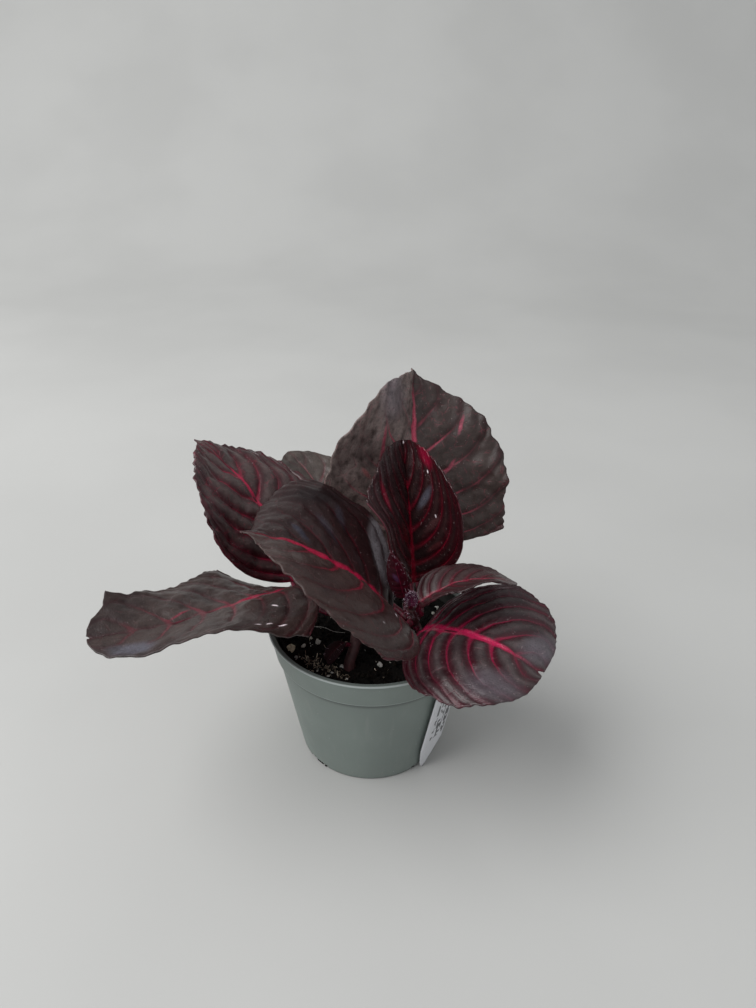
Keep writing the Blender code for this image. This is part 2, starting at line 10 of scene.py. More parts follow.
import logging
import math
import random
from collections.abc import Iterable, Sequence
from dataclasses import dataclass, field
from enum import Enum

import bmesh
import bpy
import numpy as np
from mathutils import Matrix, Vector, noise

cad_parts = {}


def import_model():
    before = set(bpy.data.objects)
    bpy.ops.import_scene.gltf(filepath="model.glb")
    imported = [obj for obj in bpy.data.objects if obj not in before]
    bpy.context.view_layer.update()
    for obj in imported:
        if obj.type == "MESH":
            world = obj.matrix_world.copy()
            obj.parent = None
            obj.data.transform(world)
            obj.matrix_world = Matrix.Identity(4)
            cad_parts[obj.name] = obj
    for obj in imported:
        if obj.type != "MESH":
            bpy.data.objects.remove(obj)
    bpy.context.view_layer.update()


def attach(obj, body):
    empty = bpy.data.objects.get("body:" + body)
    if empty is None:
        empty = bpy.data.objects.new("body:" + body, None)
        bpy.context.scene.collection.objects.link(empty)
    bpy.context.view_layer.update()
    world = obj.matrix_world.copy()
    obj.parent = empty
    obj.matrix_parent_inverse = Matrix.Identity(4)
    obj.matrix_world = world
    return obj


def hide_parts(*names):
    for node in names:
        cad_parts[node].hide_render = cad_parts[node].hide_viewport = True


MM = 0.001
ROOT = "root"
LOG = logging.getLogger("potted_bloodleaf")

Colour = tuple[float, float, float]
Point = tuple[float, float, float]
Span = tuple[float, float]


class Slot(Enum):
    """The record's material slots."""

    POT = "pot"
    SOIL = "soil"
    LABEL = "label"
    STEM = "stem"
    DARK_LEAF = "dark_leaf"
    GREY_LEAF = "grey_leaf"
    RED_LEAF = "red_leaf"


# Shader building


class Signal:
    """A number in a node tree, which adds Math nodes as it is calculated with."""

    def __init__(self, sheet: NodeSheet, socket: bpy.types.NodeSocket) -> None:
        """Wrap a number socket.

        Args:
            sheet: The node tree that it is in.
            socket: The socket.
        """
        self.sheet = sheet
        self.socket = socket

    def __add__(self, other: Term) -> Signal:
        """Return the sum."""
        return self.sheet.math("ADD", self, other)

    def __radd__(self, other: Term) -> Signal:
        """Return the sum."""
        return self.sheet.math("ADD", other, self)

    def __sub__(self, other: Term) -> Signal:
        """Return the difference."""
        return self.sheet.math("SUBTRACT", self, other)

    def __rsub__(self, other: Term) -> Signal:
        """Return the difference, taken from the other number."""
        return self.sheet.math("SUBTRACT", other, self)

    def __mul__(self, other: Term) -> Signal:
        """Return the product."""
        return self.sheet.math("MULTIPLY", self, other)

    def __rmul__(self, other: Term) -> Signal:
        """Return the product."""
        return self.sheet.math("MULTIPLY", other, self)

    def __truediv__(self, other: Term) -> Signal:
        """Return the quotient."""
        return self.sheet.math("DIVIDE", self, other)

    def __pow__(self, other: Term) -> Signal:
        """Return the power."""
        return self.sheet.math("POWER", self, other)

    def __abs__(self) -> Signal:
        """Return the size without its sign."""
        return self.sheet.math("ABSOLUTE", self)

    def at_most(self, other: Term) -> Signal:
        """Return the smaller of the two."""
        return self.sheet.math("MINIMUM", self, other)

    def at_least(self, other: Term) -> Signal:
        """Return the larger of the two."""
        return self.sheet.math("MAXIMUM", self, other)

    def to_nearest_whole(self) -> Signal:
        """Return how far the number is from the nearest whole one, 0 to 0.5."""
        return self.sheet.math("PINGPONG", self, 0.5)

    def rise(self, low: Term, high: Term) -> Signal:
        """Return a smooth step from 0 at low to 1 at high.

        Args:
            low: The number at which the step starts.
            high: The number at which the step ends, which may be the smaller one.

        Returns:
            The step as a number from 0 to 1.
        """
        node = self.sheet.add(
            "ShaderNodeMapRange",
            {"interpolation_type": "SMOOTHSTEP"},
            {"Value": self, "From Min": low, "From Max": high},
        )
        return Signal(self.sheet, node.outputs["Result"])


Term = Signal | float


class NodeSheet:
    """The node tree of one material, with one method that adds any node to it."""

    def __init__(self, name: str) -> None:
        """Start a material with its Principled shader.

        Args:
            name: The material's name.
        """
        self.material = bpy.data.materials.new(name)
        self.material.use_nodes = True
        self.tree = self.material.node_tree
        self.shader = self.tree.nodes["Principled BSDF"]

    def add(
        self, kind: str, settings: dict | None = None, inputs: dict | None = None
    ) -> bpy.types.Node:
        """Add one node.

        Args:
            kind: The node's type name.
            settings: The node's own settings, such as its operation, which are set first.
            inputs: What each input gets, by its name or number: a Signal, a socket or a value.

        Returns:
            The new node.
        """
        node = self.tree.nodes.new(kind)
        for key, value in (settings or {}).items():
            setattr(node, key, value)
        for key, value in (inputs or {}).items():
            self.feed(node.inputs[key], value)
        return node

    def feed(self, socket: bpy.types.NodeSocket, value: object) -> None:
        """Link a Signal or socket to an input, or set its value.

        Args:
            socket: The input.
            value: The Signal, socket or plain value that it gets.
        """
        if isinstance(value, Signal):
            self.tree.links.new(value.socket, socket)
        elif isinstance(value, bpy.types.NodeSocket):
            self.tree.links.new(value, socket)
        else:
            socket.default_value = value

    def math(self, operation: str, *terms: Term) -> Signal:
        """Return a Math node's result for these terms."""
        node = self.add("ShaderNodeMath", {"operation": operation}, dict(enumerate(terms)))
        return Signal(self, node.outputs[0])

    def number(self, name: str) -> Signal:
        """Return the mesh's own number of this name."""
        node = self.add("ShaderNodeAttribute", {"attribute_name": name})
        return Signal(self, node.outputs["Fac"])

    def place(self, name: str | None = None) -> bpy.types.NodeSocket:
        """Return a vector to read patterns from.

        Args:
            name: The mesh's own vector, or None for the place on the object in metres.

        Returns:
            The vector's socket.
        """
        if name is None:
            return self.add("ShaderNodeTexCoord").outputs["Object"]
        return self.add("ShaderNodeAttribute", {"attribute_name": name}).outputs["Vector"]

    def stretched(self, vector: bpy.types.NodeSocket, scale: Point) -> bpy.types.NodeSocket:
        """Return a vector scaled along each axis."""
        node = self.add("ShaderNodeMapping", inputs={"Vector": vector, "Scale": scale})
        return node.outputs["Vector"]

    def length(self, vector: bpy.types.NodeSocket) -> Signal:
        """Return a vector's length."""
        node = self.add("ShaderNodeVectorMath", {"operation": "LENGTH"}, {0: vector})
        return Signal(self, node.outputs["Value"])

    def grain(self, vector: bpy.types.NodeSocket, scale: float, detail: float = 3.0) -> Signal:
        """Return a noise of about 0 to 1.

        Args:
            vector: Where it is read.
            scale: How many lumps there are to a unit of the vector.
            detail: How many finer layers it has.

        Returns:
            The noise.
        """
        inputs = {"Vector": vector, "Scale": scale, "Detail": detail}
        node = self.add("ShaderNodeTexNoise", inputs=inputs)
        return Signal(self, node.outputs["Fac"])

    def cells(self, vector: bpy.types.NodeSocket, scale: float) -> Signal:
        """Return the distance to the nearest border between irregular cells."""
        inputs = {"Vector": vector, "Scale": scale}
        node = self.add("ShaderNodeTexVoronoi", {"feature": "DISTANCE_TO_EDGE"}, inputs)
        return Signal(self, node.outputs["Distance"])

    def blend(self, factor: Term, first: object, second: object) -> bpy.types.NodeSocket:
        """Mix two colours.

        Args:
            factor: 0 for the first colour and 1 for the second.
            first: A colour or a colour socket.
            second: A colour or a colour socket.

        Returns:
            The mixed colour's socket.
        """
        colours = [(*item, 1.0) if isinstance(item, tuple) else item for item in (first, second)]
        node = self.add(
            "ShaderNodeMix", {"data_type": "RGBA"}, {0: factor, 6: colours[0], 7: colours[1]}
        )
        return node.outputs[2]

    def bump(self, height: Signal, depth: float, strength: float = 1.0) -> bpy.types.NodeSocket:
        """Return the normal of a relief.

        Args:
            height: The relief's height, 0 to 1.
            depth: What a height of 1 measures, in millimetres.
            strength: How much of the relief is taken.

        Returns:
            The normal's socket.
        """
        inputs = {"Height": height, "Distance": depth * MM, "Strength": strength}
        return self.add("ShaderNodeBump", inputs=inputs).outputs["Normal"]

    def finish(self, **sockets: object) -> bpy.types.Material:
        """Feed the shader's sockets.

        Args:
            sockets: What each of them gets, by its name with _ for a space.

        Returns:
            The finished material.
        """
        for name, value in sockets.items():
            self.feed(self.shader.inputs[name.replace("_", " ")], value)
        return self.material


# Finishes


VEIN_SPACES = 8
VEIN_BEND = 0.6
DUST: Colour = (0.26, 0.20, 0.20)
SCUFF: Colour = (0.45, 0.46, 0.42)
WORN: Colour = (0.42, 0.42, 0.40)

# Patterns of the blade, in lumps to a millimetre

BLOTCHES = 0.10
WANDER = 0.2
NET_CELLS = 0.38
SPOTS = 0.5
DUST_GRAINS = 1.5
SPECKLES = 2.6


@dataclass(frozen=True)
class Patch:
    """A patch painted on the blade in one colour: most are painted light and shade, that is light
    let through the blade, sheen, glints and shade, and a few are the blade's own colour.

    along and across are its middle in millimetres on the flat blade, left of the midrib
    when across is above 0, length and width its half sizes, turn its angle and soft the
    share of its size over which it fades.
    """

    along: float
    across: float
    length: float
    width: float
    turn: float
    colour: Colour
    strength: float = 0.8
    soft: float = 0.7

    def shown(self, sheet: NodeSheet, flat: bpy.types.NodeSocket) -> Signal:
        """Return how strongly the patch shows.

        Args:
            sheet: The node tree of the blade's material.
            flat: The place on the flat blade, in millimetres.

        Returns:
            A number from 0 to the patch's strength.
        """
        centre = (self.along, self.across, 0.0)
        moved = sheet.add("ShaderNodeVectorMath", {"operation": "SUBTRACT"}, {0: flat, 1: centre})
        turned = sheet.add(
            "ShaderNodeVectorRotate", {"rotation_type": "Z_AXIS"},
            {"Vector": moved.outputs["Vector"], "Angle": math.radians(-self.turn)},
        )
        sizes = (1.0 / self.length, 1.0 / self.width, 0.0)
        way = sheet.length(sheet.stretched(turned.outputs["Vector"], sizes))
        return way.rise(1.0, 1.0 - self.soft) * self.strength


@dataclass(frozen=True)
class LeafFinish:
    """Look of one kind of leaf.

    blade and pillow are the colours in the valleys by the veins and between them: the leaf's own
    colours, with painted shade in the darker valleys and painted sheen on the paler pillows. flush
    is the colour right beside the veins. vein_width is the midrib's width at the blade's base in
    millimetres, side_veins how strongly the side veins show left and right of the midrib,
    net how strongly the fine net does, and broken how much of the side veins is missing.
    glow_width is how far the flush spreads in millimetres, bloom how far the pillow's
    colour prevails, right_shade how much darker the right half is and left_half_painted_light how
    much painted light makes the left one paler, in the colour pale. rib_end is the share of the
    length at which the midrib fades.
    """

    name: str
    blade: Colour
    pillow: Colour
    flush: Colour
    vein: Colour
    vein_width: float = 2.4
    side_veins: tuple[float, float] = (0.7, 0.7)
    net: float = 0.06
    broken: float = 0.5
    glow_width: float = 1.1
    bloom: float = 0.8
    right_shade: float = 0.0
    roughness: float = 0.36
    gloss: float = 0.42
    deep: Colour = (0.011, 0.006, 0.007)
    under: Colour = (0.075, 0.010, 0.018)
    # painted light on the left half, in the colour pale
    left_half_painted_light: float = 0.0
    pale: Colour = (0.088, 0.068, 0.062)
    rib_end: float = 0.85
    patches: tuple[Patch, ...] = ()

    def upper(self) -> bpy.types.Material:
        """Draw the upper face: pillows, flushed valleys, midrib and side veins.

        Returns:
            The upper face's material.
        """
        sheet = NodeSheet(self.name)
        flat = sheet.place("flat")
        out = sheet.number("out")
        along = sheet.number("along")
        left = sheet.number("left")
        patches = sheet.grain(flat, BLOTCHES, 2.0)
        spots = sheet.grain(flat, SPOTS)
        speckle = sheet.grain(flat, SPECKLES)
        bend = out.rise(0.55, 1.1)
        wander = (sheet.grain(flat, WANDER, 2.0) - 0.5) * 1.1
        row = sheet.number("row") - VEIN_BEND * bend * bend
        to_side = abs(row.to_nearest_whole() * sheet.number("spacing") + wander * 0.6 * out)
        to_midrib = abs(out * sheet.number("reach") + (spots - 0.5) * 0.35)
        side_width = 0.34 + 1.1 * (1.0 - out) ** 5.0
        side = to_side.rise(side_width, side_width * 0.25) * (1.0 - 0.9 * out.rise(0.35, 0.9))
        gaps = 1.0 - self.broken * patches.rise(0.62, 0.4)
        shown = self.side_veins[1] + (self.side_veins[0] - self.side_veins[1]) * left
        side = side * gaps * shown * (1.0 - 0.8 * along.rise(0.5, 0.95))
        rib_width = self.vein_width * (1.0 - 0.65 * along)
        rib = to_midrib.rise(rib_width * 0.55, rib_width * 0.25)
        fine = sheet.cells(flat, NET_CELLS).rise(0.07, 0.01) * spots.rise(0.45, 0.65)
        near = to_side.at_most(to_midrib * 0.7 + 0.2)
        # Pillow tops get the paler pillow colour, partly painted sheen, and the valleys by the
        # veins keep the darker blade colour, partly painted shade.
        pillow_tone_and_sheen = near.rise(self.glow_width * 0.5, self.glow_width * 2.2)
        flush = near.rise(self.glow_width * 1.4, self.glow_width * 0.2) * (1.0 - 0.5 * out)
        colour = sheet.blend(pillow_tone_and_sheen * self.bloom * (0.55 + 0.9 * spots), self.blade, self.pillow)
        colour = sheet.blend(flush * 0.9, colour, self.flush)
        colour = sheet.blend((1.0 - left) * self.right_shade, colour, self.deep)
        # Painted light: the left half is made paler in the colour pale.
        colour = sheet.blend(left * self.left_half_painted_light * spots.rise(0.2, 0.6), colour, self.pale)
        colour = sheet.blend(patches.rise(0.55, 0.3) * 0.45, colour, self.deep)
        colour = sheet.blend(fine * self.net, colour, self.vein)
        colour = sheet.blend(side.at_most(1.0), colour, self.vein)
        bright = tuple(min(1.0, 1.1 * part) for part in self.vein)
        rib = rib * along.rise(self.rib_end + 0.15, self.rib_end - 0.2) * (0.7 + 0.5 * spots)
        colour = sheet.blend(rib.at_most(1.0), colour, bright)
        # Patches paint light let through the blade, sheen, glints and shade, and a few of the
        # blade's own colours.
        for spot in self.patches:
            shine = spot.shown(sheet, flat) * (0.55 + 0.9 * spots)
            colour = sheet.blend(shine.at_most(1.0), colour, spot.colour)
        colour = sheet.blend(speckle.rise(0.5, 0.3) * 0.5, colour, self.deep)
        dust = sheet.grain(flat, DUST_GRAINS, 1.0).rise(0.715, 0.76)
        colour = sheet.blend(dust * 0.45, colour, DUST)
        relief = speckle * 0.4 + spots * 0.5 - side * 0.5 - fine * 0.25
        roughness = self.roughness + 0.2 * (speckle - 0.5) + 0.16 * (spots - 0.5)
        return sheet.finish(
            Base_Color=colour, Roughness=roughness, Specular_IOR_Level=self.gloss,
            Normal=sheet.bump(relief, 0.3, 0.75),
        )

    def lower(self) -> bpy.types.Material:
        """Draw the underside: redder and matt, with its veins standing out.

        Returns:
            The underside's material.
        """
        sheet = NodeSheet(self.name + "_underside")
        flat = sheet.place("flat")
        out = sheet.number("out")
        patches = sheet.grain(flat, WANDER)
        to_side = sheet.number("row").to_nearest_whole() * sheet.number("spacing")
        veins = to_side.rise(0.6, 0.15) * out.rise(0.95, 0.6)
        rib = (out * sheet.number("reach")).rise(0.6 * self.vein_width, 0.3 * self.vein_width)
        pale = tuple(0.4 * part + 0.02 for part in self.vein)
        colour = sheet.blend(patches * 0.6, self.under, tuple(0.5 * part for part in self.under))
        colour = sheet.blend(veins.at_least(rib) * 0.7, colour, pale)
        relief = veins * 0.6 + sheet.grain(flat, 2.0) * 0.3
        return sheet.finish(
            Base_Color=colour, Roughness=0.55, Specular_IOR_Level=0.35,
            Normal=sheet.bump(relief, 0.25, 0.7),
        )


@dataclass(frozen=True)
class StalkFinish:
    """Look of stems and petioles: smooth, streaked along their length."""

    name: str
    colour: Colour
    streak: Colour
    roughness: float = 0.42

    def material(self) -> bpy.types.Material:
        """Build the finish's node tree.

        Returns:
            The finished material.
        """
        sheet = NodeSheet(self.name)
        place = sheet.place()
        streaks = sheet.grain(sheet.stretched(place, (1400.0, 1400.0, 180.0)), 1.0, 3.0)
        blotches = sheet.grain(place, 260.0, 2.0)
        colour = sheet.blend(streaks.rise(0.4, 0.7), self.colour, self.streak)
        dark = tuple(0.45 * part for part in self.colour)
        colour = sheet.blend(blotches.rise(0.5, 0.8) * 0.5, colour, dark)
        relief = streaks * 0.7 + sheet.grain(place, 2500.0, 2.0) * 0.3
        return sheet.finish(
            Base_Color=colour, Roughness=self.roughness + 0.2 * (blotches - 0.5),
            Specular_IOR_Level=0.3, Normal=sheet.bump(relief, 0.12, 0.7),
        )


@dataclass(frozen=True)
class GrainFinish:
    """Look of loose bits, each with its own tone from 0 to 1 in the mesh's number "tone"."""

    name: str
    dark: Colour
    pale: Colour
    roughness: float
    scale: float = 1500.0

    def material(self) -> bpy.types.Material:
        """Build the finish's node tree.

        Returns:
            The finished material.
        """
        sheet = NodeSheet(self.name)
        place = sheet.place()
        fine = sheet.grain(place, self.scale, 4.0)
        tone = sheet.number("tone") * 0.75 + fine.rise(0.35, 0.7) * 0.35
        colour = sheet.blend(tone.at_most(1.0), self.dark, self.pale)
        return sheet.finish(
            Base_Color=colour, Roughness=self.roughness - 0.15 * fine, Specular_IOR_Level=0.2,
            Normal=sheet.bump(fine, 0.25, 0.9),
        )


@dataclass(frozen=True)
class PotFinish:
    """Look of the pot's moulded plastic: fine-grained, faintly mottled, dusty and scuffed.

    Each span gives the heights, radii or depths in millimetres at which a mark comes in or
    fades: the painted highlight on the rim's edge, the lip's foot and side, which carry painted
    highlight too, the painted shade on the rim's top and on the inner wall behind inner_step,
    the painted highlight on the collar's step, the painted shade under it, and dust and a
    darker band by the foot.
    """

    name: str = "pot_plastic"
    colour: Colour = (0.180, 0.214, 0.196)
    dust: Colour = (0.30, 0.31, 0.29)
    # darker tone for the mottle, and the base of the painted shade on the rim's top and under the
    # collar step
    shade: Colour = (0.135, 0.160, 0.148)
    # painted highlight on the rim's edge and the collar step
    edge: Colour = (0.40, 0.44, 0.43)
    # near-black of the darker band at the foot and of the painted shade on the inner wall
    foot_band_and_inner_shade: Colour = (0.012, 0.010, 0.008)
    edge_highlight_height: Span = (42.5, 42.7)
    edge_highlight_radius: Span = (29.55, 29.8)
    lip_foot: Span = (41.9, 42.1)
    lip_side: Span = (42.45, 42.25)
    top_shade_height: Span = (42.7, 42.9)
    top_shade_radius: Span = (29.75, 29.5)
    inner_step: Span = (26.6, 34.9)
    inner_slope: float = 0.264
    inner_depth: Span = (0.45, 0.25)
    inner_foot: Span = (30.0, 31.0)
    inner_end: Span = (42.9, 41.6)
    step_foot: Span = (34.62, 34.82)
    step_end: Span = (35.15, 34.98)
    shade_foot: Span = (32.6, 34.2)
    shade_end: Span = (34.8, 34.5)
    foot_dust: Span = (9.0, 0.0)
    # darker band along the bottom edge
    foot_dark_band: Span = (0.7, 0.1)
    roughness: float = 0.5

    def material(self) -> bpy.types.Material:
        """Build the finish's node tree.

        Returns:
            The finished material.
        """
        sheet = NodeSheet(self.name)
        place = sheet.place()
        height = sheet.add("ShaderNodeSeparateXYZ", inputs={0: place}).outputs["Z"]
        height = Signal(sheet, height) / MM
        mottle = sheet.grain(place, 55.0, 3.0)
        runs = sheet.grain(sheet.stretched(place, (420.0, 420.0, 14.0)), 1.0, 3.0)
        grain = sheet.grain(place, 5200.0, 2.0)
        specks = sheet.grain(place, 950.0, 2.0).rise(0.735, 0.77)
        colour = sheet.blend(mottle.rise(0.3, 0.7) * 0.45, self.colour, self.shade)
        colour = sheet.blend(runs.rise(0.52, 0.8) * 0.22, colour, self.dust)
        foot = height.rise(*self.foot_dust) * (0.3 + mottle * 0.8)
        radius = sheet.length(sheet.stretched(place, (1.0 / MM, 1.0 / MM, 0.0)))
        # Painted highlight on the rim's outer edge and the lip's side.
        edge = height.rise(*self.edge_highlight_height) * radius.rise(*self.edge_highlight_radius)
        rim = edge * 0.85 + height.rise(*self.lip_foot) * height.rise(*self.lip_side) * 0.3
        # Painted shade on the rim's top face.
        top = height.rise(*self.top_shade_height) * radius.rise(*self.top_shade_radius)
        # Painted shade on the inner wall above the soil.
        start, level = self.inner_step
        inner = radius - start - self.inner_slope * (height - level)
        inside = inner.rise(*self.inner_depth) * height.rise(*self.inner_foot)
        inside = inside * height.rise(*self.inner_end)
        # Painted highlight along the collar step.
        step = height.rise(*self.step_foot) * height.rise(*self.step_end)
        # Painted shade under the collar step.
        under_step = height.rise(*self.shade_foot) * height.rise(*self.shade_end)
        colour = sheet.blend(foot * 0.14, colour, self.dust)
        # Painted shade on the rim's top face.
        colour = sheet.blend(top * 0.75, colour, tuple(0.8 * part for part in self.shade))
        # Darker along the bottom edge.
        foot_band = height.rise(*self.foot_dark_band) * (mottle.rise(0.3, 0.6) * 0.5 + 0.4)
        colour = sheet.blend(foot_band, colour, self.foot_band_and_inner_shade)
        colour = sheet.blend(specks * 0.55, colour, SCUFF)
        # Painted shade under the collar step.
        colour = sheet.blend(under_step * 0.75, colour, tuple(0.5 * part for part in self.shade))
        # Painted highlights on the collar step and the rim.
        colour = sheet.blend(step * 0.55 + rim * (0.6 + 0.5 * mottle), colour, self.edge)
        # Painted shade on the inner wall.
        colour = sheet.blend(inside * 0.95, colour, self.foot_band_and_inner_shade)
        roughness = self.roughness + 0.16 * (runs - 0.5) + 0.14 * foot
        relief = grain * 0.6 + mottle * 0.4
        return sheet.finish(
            Base_Color=colour, Roughness=roughness, Normal=sheet.bump(relief, 0.06, 0.6)
        )


@dataclass(frozen=True)
class LabelFinish:
    """Look of the plant label: white plastic with a meaningless pattern of dark marks.

    Marks stand in lines with a pitch, in groups with gaps between them, and the last four
    spans are where they start and end down and across the strip, all in millimetres.
    """

    name: str = "label_plastic"
    colour: Colour = (0.64, 0.645, 0.67)
    ink: Colour = (0.02, 0.02, 0.024)
    line_pitch: float = 3.1
    mark_pitch: float = 0.95
    mark_width: float = 0.75
    group_pitch: float = 5.3
    down_start: Span = (1.0, 1.4)
    down_end: Span = (32.0, 31.6)
    across_start: Span = (-2.3, -2.1)
    across_end: Span = (4.2, 4.0)

    def dice(self, sheet: NodeSheet, down: Signal, across: Signal) -> Signal:
        """Draw a random number for each cell.

        Args:
            sheet: The node tree of the label's material.
            down: Steps down the strip, whole at the cells' borders.
            across: Steps across it.

        Returns:
            A number from 0 to 1, the same all over a cell.
        """
        steps = [sheet.math("FLOOR", term) for term in (down, across)]
        cell = sheet.add("ShaderNodeCombineXYZ", inputs=dict(enumerate(steps))).outputs["Vector"]
        dice = sheet.add("ShaderNodeTexWhiteNoise", {"noise_dimensions": "2D"}, {"Vector": cell})
        return Signal(sheet, dice.outputs["Value"])

    def material(self) -> bpy.types.Material:
        """Build the finish's node tree.

        Returns:
            The finished material.
        """
        sheet = NodeSheet(self.name)
        down = sheet.number("down")
        across = sheet.number("across")
        line = across / self.line_pitch + 0.3
        marks = self.dice(sheet, down / self.mark_pitch, across / self.mark_width).rise(0.46, 0.48)
        groups = self.dice(sheet, down / self.group_pitch, line).rise(0.18, 0.2)
        printed = marks * groups * line.to_nearest_whole().rise(0.08, 0.12)
        printed = printed * down.rise(*self.down_end) * down.rise(*self.down_start)
        printed = printed * across.rise(*self.across_end) * across.rise(*self.across_start)
        wear = sheet.grain(sheet.place(), 700.0)
        colour = sheet.blend(wear.rise(0.55, 0.85) * 0.3, self.colour, WORN)
        colour = sheet.blend(printed * 0.9, colour, self.ink)
        return sheet.finish(
            Base_Color=colour, Roughness=0.38 + 0.2 * (wear - 0.5),
            Normal=sheet.bump(wear, 0.05, 0.5),
        )


@dataclass(frozen=True)
class HairFinish:
    """Look of the pale hairs on the young growth."""

    name: str = "pale_hairs"
    root: Colour = (0.36, 0.16, 0.24)
    tip: Colour = (0.72, 0.60, 0.68)

    def material(self) -> bpy.types.Material:
        """Build the finish's node tree.

        Returns:
            The finished material.
        """
        sheet = NodeSheet(self.name)
        colour = sheet.blend(sheet.number("tone").rise(0.0, 0.8), self.root, self.tip)
        return sheet.finish(Base_Color=colour, Roughness=0.45)


# Mesh helpers


MERGE_DISTANCE = 0.001


def make_object(
    name: str, bm: bmesh.types.BMesh, materials: Sequence[bpy.types.Material] = (),
    smooth: bool = True,
) -> bpy.types.Object:
    """Turn a bmesh in metres into an object of the scene.

    Args:
        name: The object's name.
        bm: Its mesh, which is freed.
        materials: Its materials, in the order of their numbers.
        smooth: Whether its faces are shaded smooth.

    Returns:
        The object.
    """
    mesh = bpy.data.meshes.new(name)
    bm.to_mesh(mesh)
    bm.free()
    for material in materials:
        mesh.materials.append(material)
    mesh.polygons.foreach_set("use_smooth", [smooth] * len(mesh.polygons))
    item = bpy.data.objects.new(name, mesh)
    bpy.context.scene.collection.objects.link(item)
    return item


def make_piece(
    name: str, bm: bmesh.types.BMesh, materials: Sequence[bpy.types.Material],
    nodes: Iterable[str], smooth: bool = True,
) -> bpy.types.Object:
    """Turn a bmesh in millimetres into a piece that rides on the plant.

    Args:
        name: The piece's name.
        bm: Its mesh, which is freed.
        materials: Its materials, in the order of their numbers.
        nodes: The CAD nodes that it stands for.
        smooth: Whether its faces are shaded smooth.

    Returns:
        The piece's object.
    """
    bmesh.ops.scale(bm, vec=Vector((MM, MM, MM)), verts=bm.verts)
    piece = make_object(name, bm, materials, smooth)
    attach(piece, ROOT)
    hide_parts(*nodes)
    LOG.info("%s: %d faces", name, len(piece.data.polygons))
    return piece


def thicken(piece: bpy.types.Object, thickness: float) -> bpy.types.Modifier:
    """Give a sheet its wall, half of it to each side.

    Args:
        piece: The sheet's object.
        thickness: The wall's thickness.

    Returns:
        The modifier that makes the wall.
    """
    shell = piece.modifiers.new("thickness", "SOLIDIFY")
    shell.thickness = thickness * MM
    shell.offset = 0.0
    return shell


def ring_edges(ring: Sequence[bmesh.types.BMVert]) -> list[bmesh.types.BMEdge]:
    """Find the edges that join the vertices of one ring.

    Args:
        ring: The ring's vertices.

    Returns:
        The edges, which form one loop.
    """
    members = set(ring)
    edges = {edge for vert in ring for edge in vert.link_edges}
    return [edge for edge in edges if all(vert in members for vert in edge.verts)]


def turned(profile: Sequence[tuple[float, float]], steps: int) -> bmesh.types.BMesh:
    """Spin an outline once around the upright axis.

    Args:
        profile: The outline's radii and heights, from the middle of the base outward.
        steps: How many sides the shape gets.

    Returns:
        A new closed mesh with its faces turned outward.
    """
    bm = bmesh.new()
    corners = [bm.verts.new((radius, 0.0, height)) for radius, height in profile]
    edges = [bm.edges.new(pair) for pair in zip(corners, corners[1:])]
    bmesh.ops.spin(
        bm, geom=corners + edges, cent=(0, 0, 0), axis=(0, 0, 1),
        angle=2.0 * math.pi, steps=steps, use_merge=True,
    )
    bmesh.ops.remove_doubles(bm, verts=bm.verts, dist=MERGE_DISTANCE)
    bmesh.ops.recalc_face_normals(bm, faces=bm.faces)
    return bm


def add_tube(
    bm: bmesh.types.BMesh, centres: Sequence[Vector], radii: Sequence[float], sides: int,
    tones: Sequence[float] = (),
) -> None:
    """Add a closed tube through these centres, with a ring square to the way at each.

    Args:
        bm: The mesh that it is added to.
        centres: The rings' middles.
        radii: The rings' radii.
        sides: How many sides it has.
        tones: The rings' values of the mesh's number "tone", where it has one.
    """
    rings = []
    for index, (centre, radius) in enumerate(zip(centres, radii)):
        before = centres[max(index - 1, 0)]
        after = centres[min(index + 1, len(centres) - 1)]
        turn = (after - before).to_track_quat("Z", "Y").to_matrix().to_4x4()
        matrix = Matrix.Translation(centre) @ turn
        ring = bmesh.ops.create_circle(
            bm, cap_ends=False, segments=sides, radius=radius, matrix=matrix
        )["verts"]
        rings.append(ring)
    for ring, following in zip(rings, rings[1:]):
        bmesh.ops.bridge_loops(bm, edges=ring_edges(ring) + ring_edges(following))
    bmesh.ops.contextual_create(bm, geom=ring_edges(rings[0]))
    bmesh.ops.contextual_create(bm, geom=ring_edges(rings[-1]))
    for ring, tone in zip(rings, tones):
        for vert in ring:
            vert[bm.verts.layers.float["tone"]] = tone


def smooth_way(points: Sequence[Vector], steps: int) -> list[Vector]:
    """Return evenly stepped points on a curve through all these points.

    Args:
        points: The points that it goes through.
        steps: How many steps it takes from one to the next.

    Returns:
        The curve's points, with both ends.
    """
    padded = [points[0] * 2.0 - points[1], *points, points[-1] * 2.0 - points[-2]]
    way = []
    for index in range(1, len(padded) - 2):
        p0, p1, p2, p3 = padded[index - 1:index + 3]
        for step in range(steps):
            t = step / steps
            way.append(
                0.5 * (2.0 * p1 + (p2 - p0) * t
                       + (2.0 * p0 - 5.0 * p1 + 4.0 * p2 - p3) * t ** 2
                       + (3.0 * p1 - 3.0 * p2 + p3 - p0) * t ** 3)
            )
    way.append(points[-1])
    return way


# Stems


DARK_STEM = StalkFinish(
    "dark_stem", colour=(0.052, 0.020, 0.021), streak=(0.085, 0.034, 0.035), roughness=0.55,
)
CRIMSON_PETIOLE = StalkFinish(
    "crimson_petiole", colour=(0.048, 0.003, 0.008), streak=(0.15, 0.009, 0.030),
)
STRAIGHT_ABOVE_SOIL = 2.0
STEM_ROOT_DEPTH = 7.0
SOIL_LEVEL = 38.0
END_GAP = 0.45


